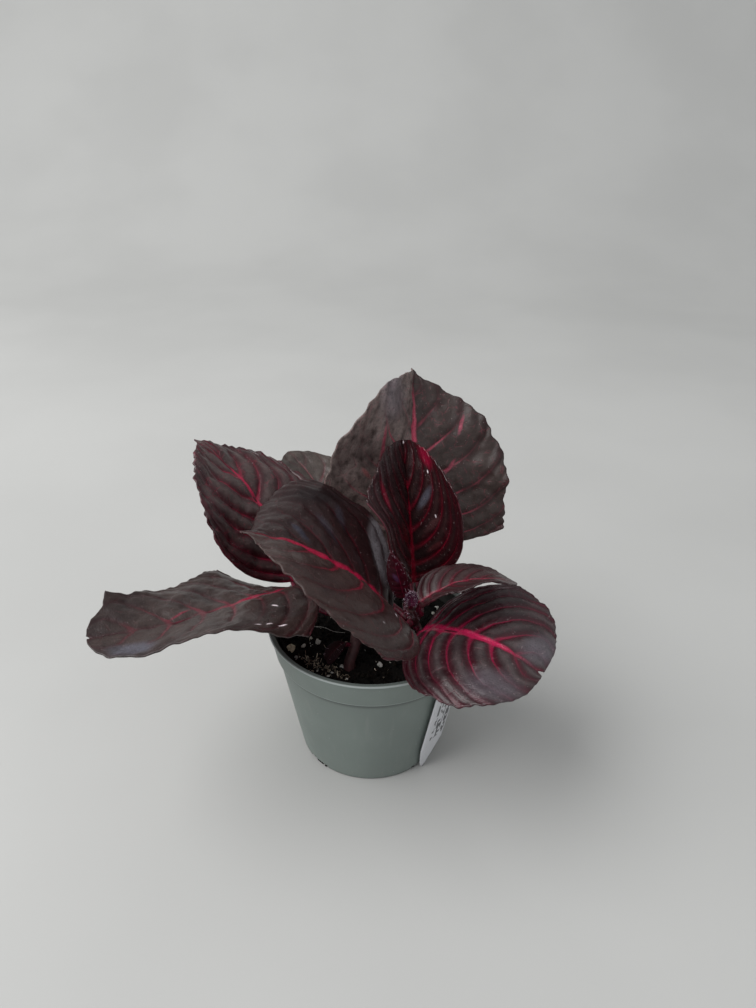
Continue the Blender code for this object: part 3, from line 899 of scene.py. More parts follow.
@dataclass(frozen=True)
class Stem:
    """A shoot's stem, given by the points that it passes through above the soil."""

    name: str
    foot: tuple[float, float]
    way: tuple[Point, ...]
    foot_radius: float
    top_shade_radius: float
    steps: int = 10
    sides: int = 20
    joint_swell: float = 0.14
    joint_pace: float = 0.9

    def centres(self, steps: int) -> list[Vector]:
        """Lay out the stem, upright in the soil and bending above it.

        Args:
            steps: How many steps the way takes from one of its points to the next.

        Returns:
            The middles of the stem's rings.
        """
        root = Vector((*self.foot, SOIL_LEVEL - STEM_ROOT_DEPTH))
        neck = Vector((*self.foot, SOIL_LEVEL + 0.5 * STRAIGHT_ABOVE_SOIL))
        bend = [neck, *(Vector(point) for point in self.way)]
        return [root, neck - Vector((0.0, 0.0, STRAIGHT_ABOVE_SOIL)), *smooth_way(bend, steps)]

    def radius(self, height: float) -> float:
        """Return the stem's radius at a height, which is thinner towards its top."""
        share = (height - SOIL_LEVEL) / (self.way[-1][2] - SOIL_LEVEL)
        return self.foot_radius + (self.top_shade_radius - self.foot_radius) * min(max(share, 0.0), 1.0)

    def at(self, height: float) -> tuple[Vector, Vector]:
        """Find where the stem's middle line passes a height.

        Args:
            height: The height, past which the line's end is taken.

        Returns:
            The point and the line's direction there.
        """
        centres = self.centres(4)
        for low, high in zip(centres, centres[1:]):
            if low.z <= height <= high.z:
                break
        share = min((height - low.z) / (high.z - low.z), 1.0)
        return low.lerp(high, share), (high - low).normalized()

    def outward(self, height: float, azimuth: float) -> tuple[Vector, Vector, Vector]:
        """Find a place on the stem and the way out from it.

        Args:
            height: The place's height.
            azimuth: The way out seen from above, in radians.

        Returns:
            The point on the middle line, the line's direction and the way out, square to it.
        """
        centre, along = self.at(height)
        level = Vector((math.cos(azimuth), math.sin(azimuth), 0.0))
        return centre, along, (level - along * level.dot(along)).normalized()

    def build(self, finish: bpy.types.Material) -> bpy.types.Object:
        """Make the stem as a tapered tube with a slight swelling at each joint.

        Args:
            finish: Its material.

        Returns:
            The stem's object.
        """
        centres = self.centres(self.steps)
        radii = []
        for centre in centres:
            swell = self.joint_swell * max(0.0, math.sin(self.joint_pace * centre.z)) ** 4
            radii.append(self.radius(centre.z) * (1.0 + swell))
        bm = bmesh.new()
        add_tube(bm, centres, radii, self.sides)
        bmesh.ops.recalc_face_normals(bm, faces=bm.faces)
        return make_piece(self.name + "_stalk", bm, [finish], [self.name])


STEMS = (
    Stem(
        "main_stem", foot=(11.5, 2.0), foot_radius=1.7, top_shade_radius=1.2,
        way=((12.2, -2.2, 43.5), (12.5, -6.0, 48.5), (11.0, -9.2, 53.0)),
    ),
    Stem(
        "side_stem", foot=(-5.8, -15.2), foot_radius=1.6, top_shade_radius=1.2,
        way=((-4.2, -12.2, 44.0), (-5.0, -7.0, 49.5), (-9.0, -1.5, 53.0)),
    ),
)


# Leaves


VEIN_CROWDING = 1.5
PILLOW_SKEW = 0.7
PILLOW_FULL_LENGTH = 50.0
MIDRIB_STEPS = 60
MIDRIB_PAD = 0.4
WIDEST_SHARE = 0.75
RIDGE_END = 0.85
RIDGE_END_RADIUS = 0.3
PETIOLE_PULL_SHARE = 0.45
PETIOLE_PULL_LIMIT = 6.0
PETIOLE_START = 0.8
PETIOLE_FLARE = 0.25
CRUMPLES = ((7.5, 1.0), (3.1, 0.55), (1.5, 0.22))
MARGIN_START = 0.55
LIP_START = 0.76
NARROW_REACH = 9.0


@dataclass(frozen=True)
class Half:
    """How one half of a blade stands off its midrib.

    fold is the angle at the midrib, cup the further turn out to the margin, each given at
    the blade's base and at its tip, and wave is the height of the margin's waves. pillow is
    how far the blade bulges between its side veins and lip how far the margin rolls down.
    """

    fold: tuple[float, float]
    cup: tuple[float, float]
    wave: float = 0.0
    pillow: float = 0.9
    lip: float = 0.0


@dataclass(frozen=True)
class Leaf:
    """One leaf, with its blade's size, its way out from the plant and its petiole.

    base is where the blade starts. heading is the way that the midrib goes seen from above
    and rise its slope. sweep and droop turn it along its length and hook bends its tip.
    twist rolls the blade at its base and turn rolls it further to the tip. reach is the
    length of the side veins from base to tip, which gives the outline. vein_angle is the
    angle between midrib and side veins at base and tip, and vein_curl the share of it that
    a side vein loses on its way to the margin. flap is a corner of the right half, scallop
    the depth of the margin's teeth and crinkle the height of its small folds.
    """

    name: str
    base: Point
    heading: float
    rise: float
    length: float
    reach: tuple[float, float, float, float]
    left: Half
    right: Half
    stem: str
    joint_height: float
    joint_azimuth: float
    look: LeafFinish
    droop: float = 0.0
    hook: float = 0.0
    sweep: float = 0.0
    twist: float = 0.0
    turn: float = 0.0
    vein_angle: tuple[float, float] = (95.0, 45.0)
    vein_curl: float = 0.7
    waves: float = 0.0
    wave_start: float = 0.0
    flap: float = 0.0
    flap_at: float = 0.0
    flap_spread: float = 0.09
    scallop: float = 0.016
    crinkle: float = 0.2
    crumple: float = 0.7
    petiole_radius: float = 1.0
    rows_per_space: int = 15
    columns: int = 56
    slot: Slot = Slot.DARK_LEAF


class Blade:
    """Surface of a leaf, worked out from its sizes for whole arrays of points.

    Points are given by side, 1 left of the midrib and -1 right of it, by origin, the share
    of the midrib at which their side vein starts, and by out, their share of the way along
    it. A share is one of the midrib's length.
    """

    def __init__(self, leaf: Leaf) -> None:
        """Lay out the midrib, and some way past both its ends.

        Args:
            leaf: The leaf.
        """
        self.leaf = leaf
        steps = int(MIDRIB_STEPS * (1.0 + 2.0 * MIDRIB_PAD))
        self.shares = np.linspace(-MIDRIB_PAD, 1.0 + MIDRIB_PAD, steps + 1)
        middles = 0.5 * (self.shares[1:] + self.shares[:-1])
        strides = self.direction(middles)[0] * (leaf.length / MIDRIB_STEPS)
        self.points = np.vstack([np.zeros(3), np.cumsum(strides, axis=0)])
        self.points = self.points - self.midrib(0.0) + np.array(leaf.base)

    def midrib(self, share: np.ndarray | float) -> np.ndarray:
        """Return the places on the midrib at these shares of its length."""
        axes = [np.interp(share, self.shares, self.points[:, axis]) for axis in range(3)]
        return np.stack(axes, axis=-1)

    def direction(self, share: np.ndarray) -> tuple[np.ndarray, np.ndarray]:
        """Find the midrib's way.

        Args:
            share: Where along the midrib.

        Returns:
            The midrib's direction and the level direction to its left.
        """
        leaf = self.leaf
        share = np.clip(share, 0.0, 1.0)
        heading = np.radians(leaf.heading + leaf.sweep * share)
        slope = np.radians(leaf.rise - leaf.droop * share - leaf.hook * share ** 3)
        ahead = [np.cos(slope) * np.cos(heading), np.cos(slope) * np.sin(heading), np.sin(slope)]
        left = [-np.sin(heading), np.cos(heading), 0.0 * heading]
        return np.stack(ahead, axis=-1), np.stack(left, axis=-1)

    def frame(self, share: np.ndarray) -> tuple[np.ndarray, np.ndarray, np.ndarray]:
        """Find how the blade lies at the midrib, rolled by its twist.

        Args:
            share: Where along the midrib.

        Returns:
            Its directions ahead, left and up.
        """
        ahead, left = self.direction(share)
        up = np.cross(ahead, left)
        inner = np.clip(share, 0.0, 1.0)
        roll = np.radians(self.leaf.twist + self.leaf.turn * inner)[..., None]
        rolled_left = left * np.cos(roll) + up * np.sin(roll)
        rolled_up = up * np.cos(roll) - left * np.sin(roll)
        return ahead, rolled_left, rolled_up

    def row(self, origin: np.ndarray) -> np.ndarray:
        """Return the row of a side vein's start, where whole rows are side veins."""
        return VEIN_SPACES * np.clip(origin, 0.0, 1.0) ** (1.0 / VEIN_CROWDING)

    def reach(self, side: int, origin: np.ndarray) -> np.ndarray:
        """Find how far the blade reaches, which gives its outline with the margin's teeth.

        Args:
            side: The half.
            origin: Where the side veins start.

        Returns:
            The side veins' lengths.
        """
        leaf = self.leaf
        first, second, third, last = leaf.reach
        rest = 1.0 - origin
        reach = (first * rest ** 3 + 3.0 * second * origin * rest ** 2
                 + 3.0 * third * origin ** 2 * rest + last * origin ** 3)
        row = self.row(origin)
        teeth = np.abs(np.sin(np.pi * row)) + 0.5 * np.sin(5.3 * row + side) * np.sin(9.1 * row)
        reach = reach * (1.0 + leaf.scallop * (teeth - 0.5))
        if side < 0:
            nearness = 1.0 - abs(origin - leaf.flap_at) / leaf.flap_spread
            reach = reach + leaf.flap * np.clip(nearness, 0.0, 1.0)
        return reach

    def angle(self, origin: np.ndarray, out: np.ndarray) -> np.ndarray:
        """Find the angle between midrib and side vein.

        Args:
            origin: Where the side veins start.
            out: How far out along them.

        Returns:
            The angle in radians, seen from the side vein's start.
        """
        at_base, at_tip = self.leaf.vein_angle
        angle = np.radians(at_base + (at_tip - at_base) * origin)
        return angle * (1.0 - 0.5 * self.leaf.vein_curl * out)

    def flat(
        self, side: int, origin: np.ndarray, out: np.ndarray
    ) -> tuple[np.ndarray, np.ndarray]:
        """Find the points' places on the flat blade.

        Args:
            side: The half.
            origin: Where the points' side veins start.
            out: How far out along them.

        Returns:
            The places along the midrib and across it.
        """
        reach = self.reach(side, origin) * out
        angle = self.angle(origin, out)
        return self.leaf.length * origin + reach * np.cos(angle), reach * np.sin(angle)

    def relief(
        self, side: int, origin: np.ndarray, out: np.ndarray, along: np.ndarray, wide: np.ndarray
    ) -> np.ndarray:
        """Return the height of the margin's waves, of the pillows and of the fine crinkles.

        Args:
            side: 1 for the left half and -1 for the right one.
            origin: Where the side veins start, as shares of the midrib.
            out: Shares of the way out along them.
            along: Shares of the length at the points themselves.
            wide: Distance across, as a share of the blade's widest half.

        Returns:
            The heights in millimetres.
        """
        leaf = self.leaf
        half = leaf.left if side > 0 else leaf.right
        turn = 2.0 * np.pi * leaf.waves * along + math.radians(leaf.wave_start)
        wave = half.wave * wide ** 2 * np.sin(turn)
        bend = np.clip((out - MARGIN_START) / MARGIN_START, 0.0, 1.0)
        bend = bend ** 2 * (3.0 - 2.0 * bend)
        row = self.row(origin) - VEIN_BEND * bend ** 2
        pillow = np.abs(np.sin(np.pi * row)) ** 0.85 * np.sin(np.pi * out ** PILLOW_SKEW)
        size = min(1.0, leaf.length / PILLOW_FULL_LENGTH)
        folds = np.sin(4.1 * row + 1.7 * side) * np.sin(7.7 * row) + 0.4 * np.sin(13.0 * row + side)
        rolled = np.clip((out - LIP_START) / (1.0 - LIP_START), 0.0, 1.0)
        margin = leaf.crinkle * out ** 5 * folds - half.lip * rolled ** 2
        near_tip = np.clip(self.reach(side, origin) / NARROW_REACH, 0.0, 1.0)
        pillow = half.pillow * pillow * (1.0 - 0.6 * np.clip(origin, 0.0, 1.0) ** 2)
        return wave + (pillow + margin) * size * near_tip

    def surface(self, side: int, origin: np.ndarray, out: np.ndarray) -> np.ndarray:
        """Find the points' places in space.

        Args:
            side: The half.
            origin: Where the points' side veins start.
            out: How far out along them.

        Returns:
            The places.
        """
        leaf = self.leaf
        half = leaf.left if side > 0 else leaf.right
        along, across = self.flat(side, origin, out)
        share = along / leaf.length
        held = np.clip(share, -MIDRIB_PAD, 1.0 + MIDRIB_PAD)
        ahead, left, up = self.frame(share)
        rib = self.midrib(held) + ahead * ((share - held) * leaf.length)[..., None]
        wide = across / (WIDEST_SHARE * max(leaf.reach))
        inner = np.clip(share, 0.0, 1.0)
        fold = half.fold[0] + (half.fold[1] - half.fold[0]) * inner
        cup = half.cup[0] + (half.cup[1] - half.cup[0]) * inner
        angle = np.radians(fold + 0.5 * cup * wide)
        lift = self.relief(side, origin, out, share, wide)
        level = across * np.cos(angle) - lift * np.sin(angle)
        height = across * np.sin(angle) + lift * np.cos(angle)
        return rib + left * (side * level)[..., None] + up * height[..., None]

    def rib(self, share: float, drop: float = 0.0) -> Vector:
        """Return the point on the midrib at a share of its length, dropped below the blade."""
        up = self.frame(np.array(share))[2]
        return Vector(self.midrib(share)) - Vector(up) * drop


FINISH_NUMBERS = ("left", "row", "out", "reach", "spacing", "along")


@dataclass
class Foliage:
    """All leaves of the plant, built as fine blades on fine petioles of one material."""

    leaves: Sequence[Leaf]
    stalk: bpy.types.Material
    blade_thickness: float = 0.42
    petiole_sides: int = 16
    petiole_steps: int = 16
    ridge_steps: int = 30
    ridge_drop_share: float = 0.95

    def blade(self, leaf: Leaf) -> bpy.types.Object:
        """Make the blade of one leaf as a fine sheet with its thickness.

        Args:
            leaf: The leaf.

        Returns:
            The blade's object, whose mesh holds the numbers that the finish reads.
        """
        form = Blade(leaf)
        bm = bmesh.new()
        rows = VEIN_SPACES * leaf.rows_per_space
        look = [leaf.look.upper(), leaf.look.lower()]
        bmesh.ops.create_grid(bm, x_segments=2 * leaf.columns, y_segments=rows, size=1.0)
        grid = np.array([vert.co[:2] for vert in bm.verts])
        origin = (0.5 * (grid[:, 1] + 1.0)).clip(0.0, 1.0) ** VEIN_CROWDING
        out = np.abs(grid[:, 0]).clip(0.0, 1.0)
        halves = {side: self.half(form, side, origin, out) for side in (1, -1)}
        layers = {key: bm.verts.layers.float.new(key) for key in FINISH_NUMBERS}
        flat_layer = bm.verts.layers.float_vector.new("flat")
        for index, vert in enumerate(bm.verts):
            half = halves[1 if grid[index, 0] > 0.0 else -1]
            vert.co = half["place"][index]
            vert[flat_layer] = half["flat"][index]
            for key, layer in layers.items():
                vert[layer] = half[key][index]
        bmesh.ops.reverse_faces(bm, faces=bm.faces)
        bmesh.ops.remove_doubles(bm, verts=bm.verts, dist=0.02)
        piece = make_piece(leaf.name + "_blade", bm, look, [leaf.name])
        shell = thicken(piece, self.blade_thickness)
        shell.use_quality_normals = True
        shell.material_offset = 1
        return piece

    def half(
        self, form: Blade, side: int, origin: np.ndarray, out: np.ndarray
    ) -> dict[str, np.ndarray]:
        """Return the places and the finish's numbers of one half's points.

        Args:
            form: The leaf's surface.
            side: 1 for the left half and -1 for the right one.
            origin: Where the points' side veins start, as shares of the midrib.
            out: The points' shares of the way out along them.

        Returns:
            An array for each number, and the places and flat places of the points.
        """
        leaf = form.leaf
        along, across = form.flat(side, origin, out)
        row = form.row(origin)
        step = VEIN_CROWDING * np.clip(origin, 0.004, 1.0) ** (1.0 - 1.0 / VEIN_CROWDING)
        spacing = leaf.length * step / VEIN_SPACES * np.abs(np.sin(form.angle(origin, out)))
        seed = float(sum(ord(letter) for letter in leaf.name) % 97)
        flat = np.stack([along, side * across, np.full_like(along, seed)], axis=-1)
        size = min(1.0, leaf.length / PILLOW_FULL_LENGTH)
        place = form.surface(side, origin, out)
        up = form.frame(along / leaf.length)[2]
        crumple = [
            sum(height * noise.noise(Vector(spot) / pitch) for pitch, height in CRUMPLES)
            for spot in flat
        ]
        place = place + up * (leaf.crumple * size * np.array(crumple))[:, None]
        return {
            "place": place,
            "flat": flat,
            "left": np.full_like(along, float(side > 0)),
            "row": row,
            "out": out,
            "reach": form.reach(side, origin),
            "spacing": spacing,
            "along": np.clip(origin, 0.0, 1.0),
        }

    def petiole_way(self, leaf: Leaf, ridge_radii: Sequence[float]) -> list[Vector]:
        """Lay out a petiole, from its stem on to the ridge under the midrib.

        Args:
            leaf: The petiole's leaf.
            ridge_radii: The ridge's radii from the blade's base on.

        Returns:
            The middles of its rings.
        """
        stem = next(item for item in STEMS if item.name == leaf.stem)
        form = Blade(leaf)
        height = leaf.joint_height
        centre, along, out = stem.outward(height, math.radians(leaf.joint_azimuth))
        start = centre + out * (PETIOLE_START * stem.radius(height))
        if height >= stem.way[-1][2]:
            out = along
            start = centre + out * END_GAP
        base = form.rib(0.0, self.ridge_drop_share * leaf.petiole_radius)
        ahead = Vector(form.direction(np.array(0.0))[0])
        pull = min(PETIOLE_PULL_SHARE * (base - start).length, PETIOLE_PULL_LIMIT)
        way = []
        for step in range(self.petiole_steps):
            t = step / self.petiole_steps
            way.append(
                start * (1 - t) ** 3 + (start + out * pull) * (3 * t * (1 - t) ** 2)
                + (base - ahead * pull) * (3 * t * t * (1 - t)) + base * t ** 3
            )
        for step, radius in enumerate(ridge_radii):
            share = RIDGE_END * step / self.ridge_steps
            way.append(form.rib(share, self.ridge_drop_share * radius))
        return way

    def petiole(self, leaf: Leaf) -> bpy.types.Object:
        """Make one petiole, running on as the ridge under the midrib.

        Args:
            leaf: The petiole's leaf.

        Returns:
            The petiole's object.
        """
        ridge = np.linspace(leaf.petiole_radius, RIDGE_END_RADIUS, self.ridge_steps + 1)
        ridge = ridge.tolist()
        stalk = []
        for step in range(self.petiole_steps):
            flare = PETIOLE_FLARE * max(0.0, 1.0 - 4.0 * step / self.petiole_steps)
            stalk.append(leaf.petiole_radius * (1.0 + flare))
        bm = bmesh.new()
        add_tube(bm, self.petiole_way(leaf, ridge), stalk + ridge, self.petiole_sides)
        bmesh.ops.recalc_face_normals(bm, faces=bm.faces)
        return make_piece(leaf.name + "_petiole", bm, [self.stalk], [leaf.name])

    def build(self) -> None:
        """Make every leaf."""
        for leaf in self.leaves:
            self.blade(leaf)
            self.petiole(leaf)


# Colours of painted light: light let through the blade, a painted reflection of the sky and painted
# glints.
LIT_RED: Colour = (0.165, 0.001, 0.017)
SKY_SHEEN: Colour = (0.100, 0.100, 0.128)
GLINT: Colour = (0.85, 0.74, 0.78)
FRONT = LeafFinish(
    "front_blade", blade=(0.036, 0.018, 0.016), pillow=(0.053, 0.033, 0.030),
    flush=(0.044, 0.014, 0.015), vein=(0.36, 0.006, 0.042), vein_width=5.4,
    side_veins=(0.5, 0.12), right_shade=0.8, broken=0.45, glow_width=0.8,
    gloss=0.3, deep=(0.017, 0.006, 0.007),
    # Painted light and shade: the pale grey strip and the bands are painted sheen, the near-black
    # patches painted shade and the GLINT patches painted glints.
    patches=(
        Patch(7.0, -16.6, 13.0, 5.6, -72.0, (0.195, 0.182, 0.196), 0.95, 0.4),
        Patch(1.6, -3.2, 3.4, 2.0, -70.0, (0.004, 0.001, 0.001), 0.95, 0.4),
        Patch(36.5, -6.5, 5.0, 1.6, -55.0, (0.034, 0.034, 0.052), 0.8),
        Patch(27.0, -13.0, 7.0, 2.4, -60.0, (0.036, 0.032, 0.044), 0.7),
        Patch(22.0, -20.0, 6.0, 1.8, -70.0, (0.032, 0.028, 0.038), 0.7),
        Patch(17.0, -7.0, 6.0, 1.8, -60.0, (0.034, 0.022, 0.024), 0.7),
        Patch(30.0, -25.0, 13.0, 5.0, 20.0, (0.009, 0.004, 0.005), 0.85),
        Patch(10.9, 11.9, 0.8, 0.6, 0.0, GLINT, 1.0),
        Patch(21.0, 22.1, 0.5, 0.4, 0.0, GLINT, 0.25),
    ),
)
CRIMSON = LeafFinish(
    "crimson_veined_blade", blade=(0.038, 0.008, 0.011), pillow=(0.088, 0.060, 0.057),
    flush=(0.075, 0.006, 0.013), vein=(0.36, 0.008, 0.048), vein_width=3.2,
    side_veins=(0.55, 0.5), broken=0.75, net=0.2,
)
GREY = LeafFinish(
    "grey_blade", blade=(0.030, 0.015, 0.014), pillow=(0.046, 0.030, 0.027),
    flush=(0.046, 0.016, 0.017), vein=(0.26, 0.012, 0.040), vein_width=3.2,
    side_veins=(0.3, 0.35), broken=0.85, glow_width=0.8, rib_end=0.42,
    # The SKY_SHEEN patch is a painted reflection of the sky and the GLINT patches are painted
    # glints.
    patches=(
        Patch(47.0, 8.8, 7.5, 3.6, -28.0, SKY_SHEEN, 0.72),
        Patch(22.0, 14.0, 6.0, 5.0, 0.0, (0.056, 0.045, 0.043), 0.6),
        Patch(33.0, -2.5, 5.0, 0.5, 14.0, (0.20, 0.012, 0.035), 0.7),
        Patch(13.0, 11.4, 1.2, 0.4, -60.0, GLINT, 1.0),
        Patch(20.7, 17.8, 1.1, 0.4, 0.0, GLINT, 1.0),
        Patch(18.0, 18.0, 1.0, 0.35, 0.0, GLINT, 1.0),
        Patch(15.3, 18.9, 1.4, 0.35, -10.0, GLINT, 1.0),
    ),
)
BACK = LeafFinish(
    "back_blade", blade=(0.060, 0.042, 0.036), pillow=(0.078, 0.062, 0.054),
    flush=(0.066, 0.036, 0.034), vein=(0.18, 0.045, 0.055), vein_width=1.6,
    side_veins=(0.45, 0.45), broken=0.6, glow_width=0.7,
)
RUBY = LeafFinish(
    "ruby_veined_blade", blade=(0.022, 0.007, 0.009), pillow=(0.088, 0.065, 0.066),
    flush=(0.066, 0.004, 0.013), vein=(0.42, 0.012, 0.068), vein_width=4.4,
    side_veins=(0.7, 0.65), broken=0.45, glow_width=1.3, bloom=0.85, roughness=0.33,
    # The two pale violet-grey patches are painted sheen.
    patches=(
        Patch(32.0, -14.0, 9.0, 7.0, 20.0, (0.095, 0.080, 0.094), 0.7),
        Patch(35.5, 7.0, 6.0, 9.5, -20.0, (0.130, 0.118, 0.136), 0.6),
        Patch(16.0, 14.0, 3.0, 7.0, 10.0, (0.085, 0.062, 0.064), 0.5),
    ),
)
DEEP = LeafFinish(
    "deep_red_blade", blade=(0.012, 0.003, 0.004), pillow=(0.034, 0.015, 0.015),
    flush=(0.052, 0.003, 0.007), vein=(0.27, 0.005, 0.024), vein_width=3.8,
    side_veins=(0.3, 0.55), broken=0.55, glow_width=1.0, roughness=0.31,
    # The LIT_RED patches are painted light let through the blade, the SKY_SHEEN patch painted sheen
    # and the GLINT patches painted glints.
    patches=(
        Patch(34.0, -10.6, 5.4, 2.8, 40.0, LIT_RED, 0.95),
        Patch(24.4, 14.1, 6.0, 1.5, 10.0, LIT_RED, 0.95),
        Patch(16.0, 11.6, 5.0, 1.0, 30.0, LIT_RED, 0.7),
        Patch(24.0, -7.0, 5.5, 1.6, -50.0, SKY_SHEEN, 0.7),
        Patch(17.0, -8.5, 5.0, 1.3, -55.0, (0.085, 0.032, 0.034), 0.7),
        Patch(11.0, -8.5, 4.5, 1.0, -60.0, (0.100, 0.020, 0.024), 0.6),
        Patch(14.0, 5.5, 7.0, 1.4, 40.0, (0.13, 0.004, 0.009), 0.6),
        Patch(41.0, -1.2, 0.7, 0.4, 0.0, GLINT, 0.9),
        Patch(30.4, -10.2, 0.6, 0.35, 0.0, GLINT, 0.9),
        Patch(19.2, -10.2, 0.6, 0.35, 0.0, GLINT, 0.9),
    ),
)
# Its left half's pale colour is painted light.
CRINKLED = LeafFinish(
    "crinkled_blade", blade=(0.030, 0.016, 0.014), pillow=(0.054, 0.038, 0.034),
    flush=(0.044, 0.014, 0.015), vein=(0.42, 0.055, 0.100), vein_width=5.8,
    side_veins=(0.75, 0.7), broken=0.8, net=0.15, glow_width=0.9, left_half_painted_light=0.9,
    roughness=0.46, gloss=0.32, deep=(0.026, 0.016, 0.016), pale=(0.215, 0.162, 0.150),
    # The violet-grey patch is painted sheen and the orange-pink one a painted highlight; the other
    # patches are pink pieces of vein.
    patches=(
        Patch(45.0, 12.0, 9.0, 8.0, 0.0, (0.165, 0.140, 0.162), 0.5),
        Patch(39.0, -15.0, 4.2, 0.8, -16.0, (0.30, 0.050, 0.085), 0.9),
        Patch(26.0, -11.7, 4.0, 0.8, -36.0, (0.26, 0.040, 0.070), 0.85),
        Patch(32.5, 12.7, 6.5, 1.0, 4.0, (0.34, 0.070, 0.100), 0.95),
        Patch(24.6, 16.6, 3.0, 0.9, 50.0, (0.36, 0.130, 0.130), 0.9),
    ),
)
STRIPED = LeafFinish(
    "striped_blade", blade=(0.034, 0.012, 0.013), pillow=(0.050, 0.030, 0.030),
    flush=(0.044, 0.008, 0.012), vein=(0.18, 0.016, 0.034), vein_width=1.7,
    side_veins=(0.32, 0.28), broken=0.5, glow_width=0.7,
)
YOUNG = LeafFinish(
    "young_crimson_blade", blade=(0.034, 0.001, 0.005), pillow=(0.048, 0.003, 0.010),
    flush=(0.062, 0.002, 0.009), vein=(0.17, 0.010, 0.034), vein_width=0.8,
    side_veins=(0.2, 0.2), glow_width=0.3, roughness=0.4, gloss=0.3,
    patches=(Patch(7.2, 0.9, 2.4, 0.8, 15.0, (0.12, 0.045, 0.12), 0.7),),
)
YOUNG_PURPLE = LeafFinish(
    "young_purple_blade", blade=(0.060, 0.020, 0.055), pillow=(0.105, 0.055, 0.105),
    flush=(0.085, 0.010, 0.030), vein=(0.20, 0.03, 0.08), vein_width=0.5,
    side_veins=(0.2, 0.2), glow_width=0.3, roughness=0.4, gloss=0.3,
)
YOUNG_BROWN = LeafFinish(
    "young_brown_blade", blade=(0.010, 0.002, 0.003), pillow=(0.018, 0.006, 0.008),
    flush=(0.014, 0.002, 0.004), vein=(0.05, 0.005, 0.011), vein_width=0.8,
    side_veins=(0.3, 0.3), glow_width=0.3, roughness=0.6, gloss=0.08,
)

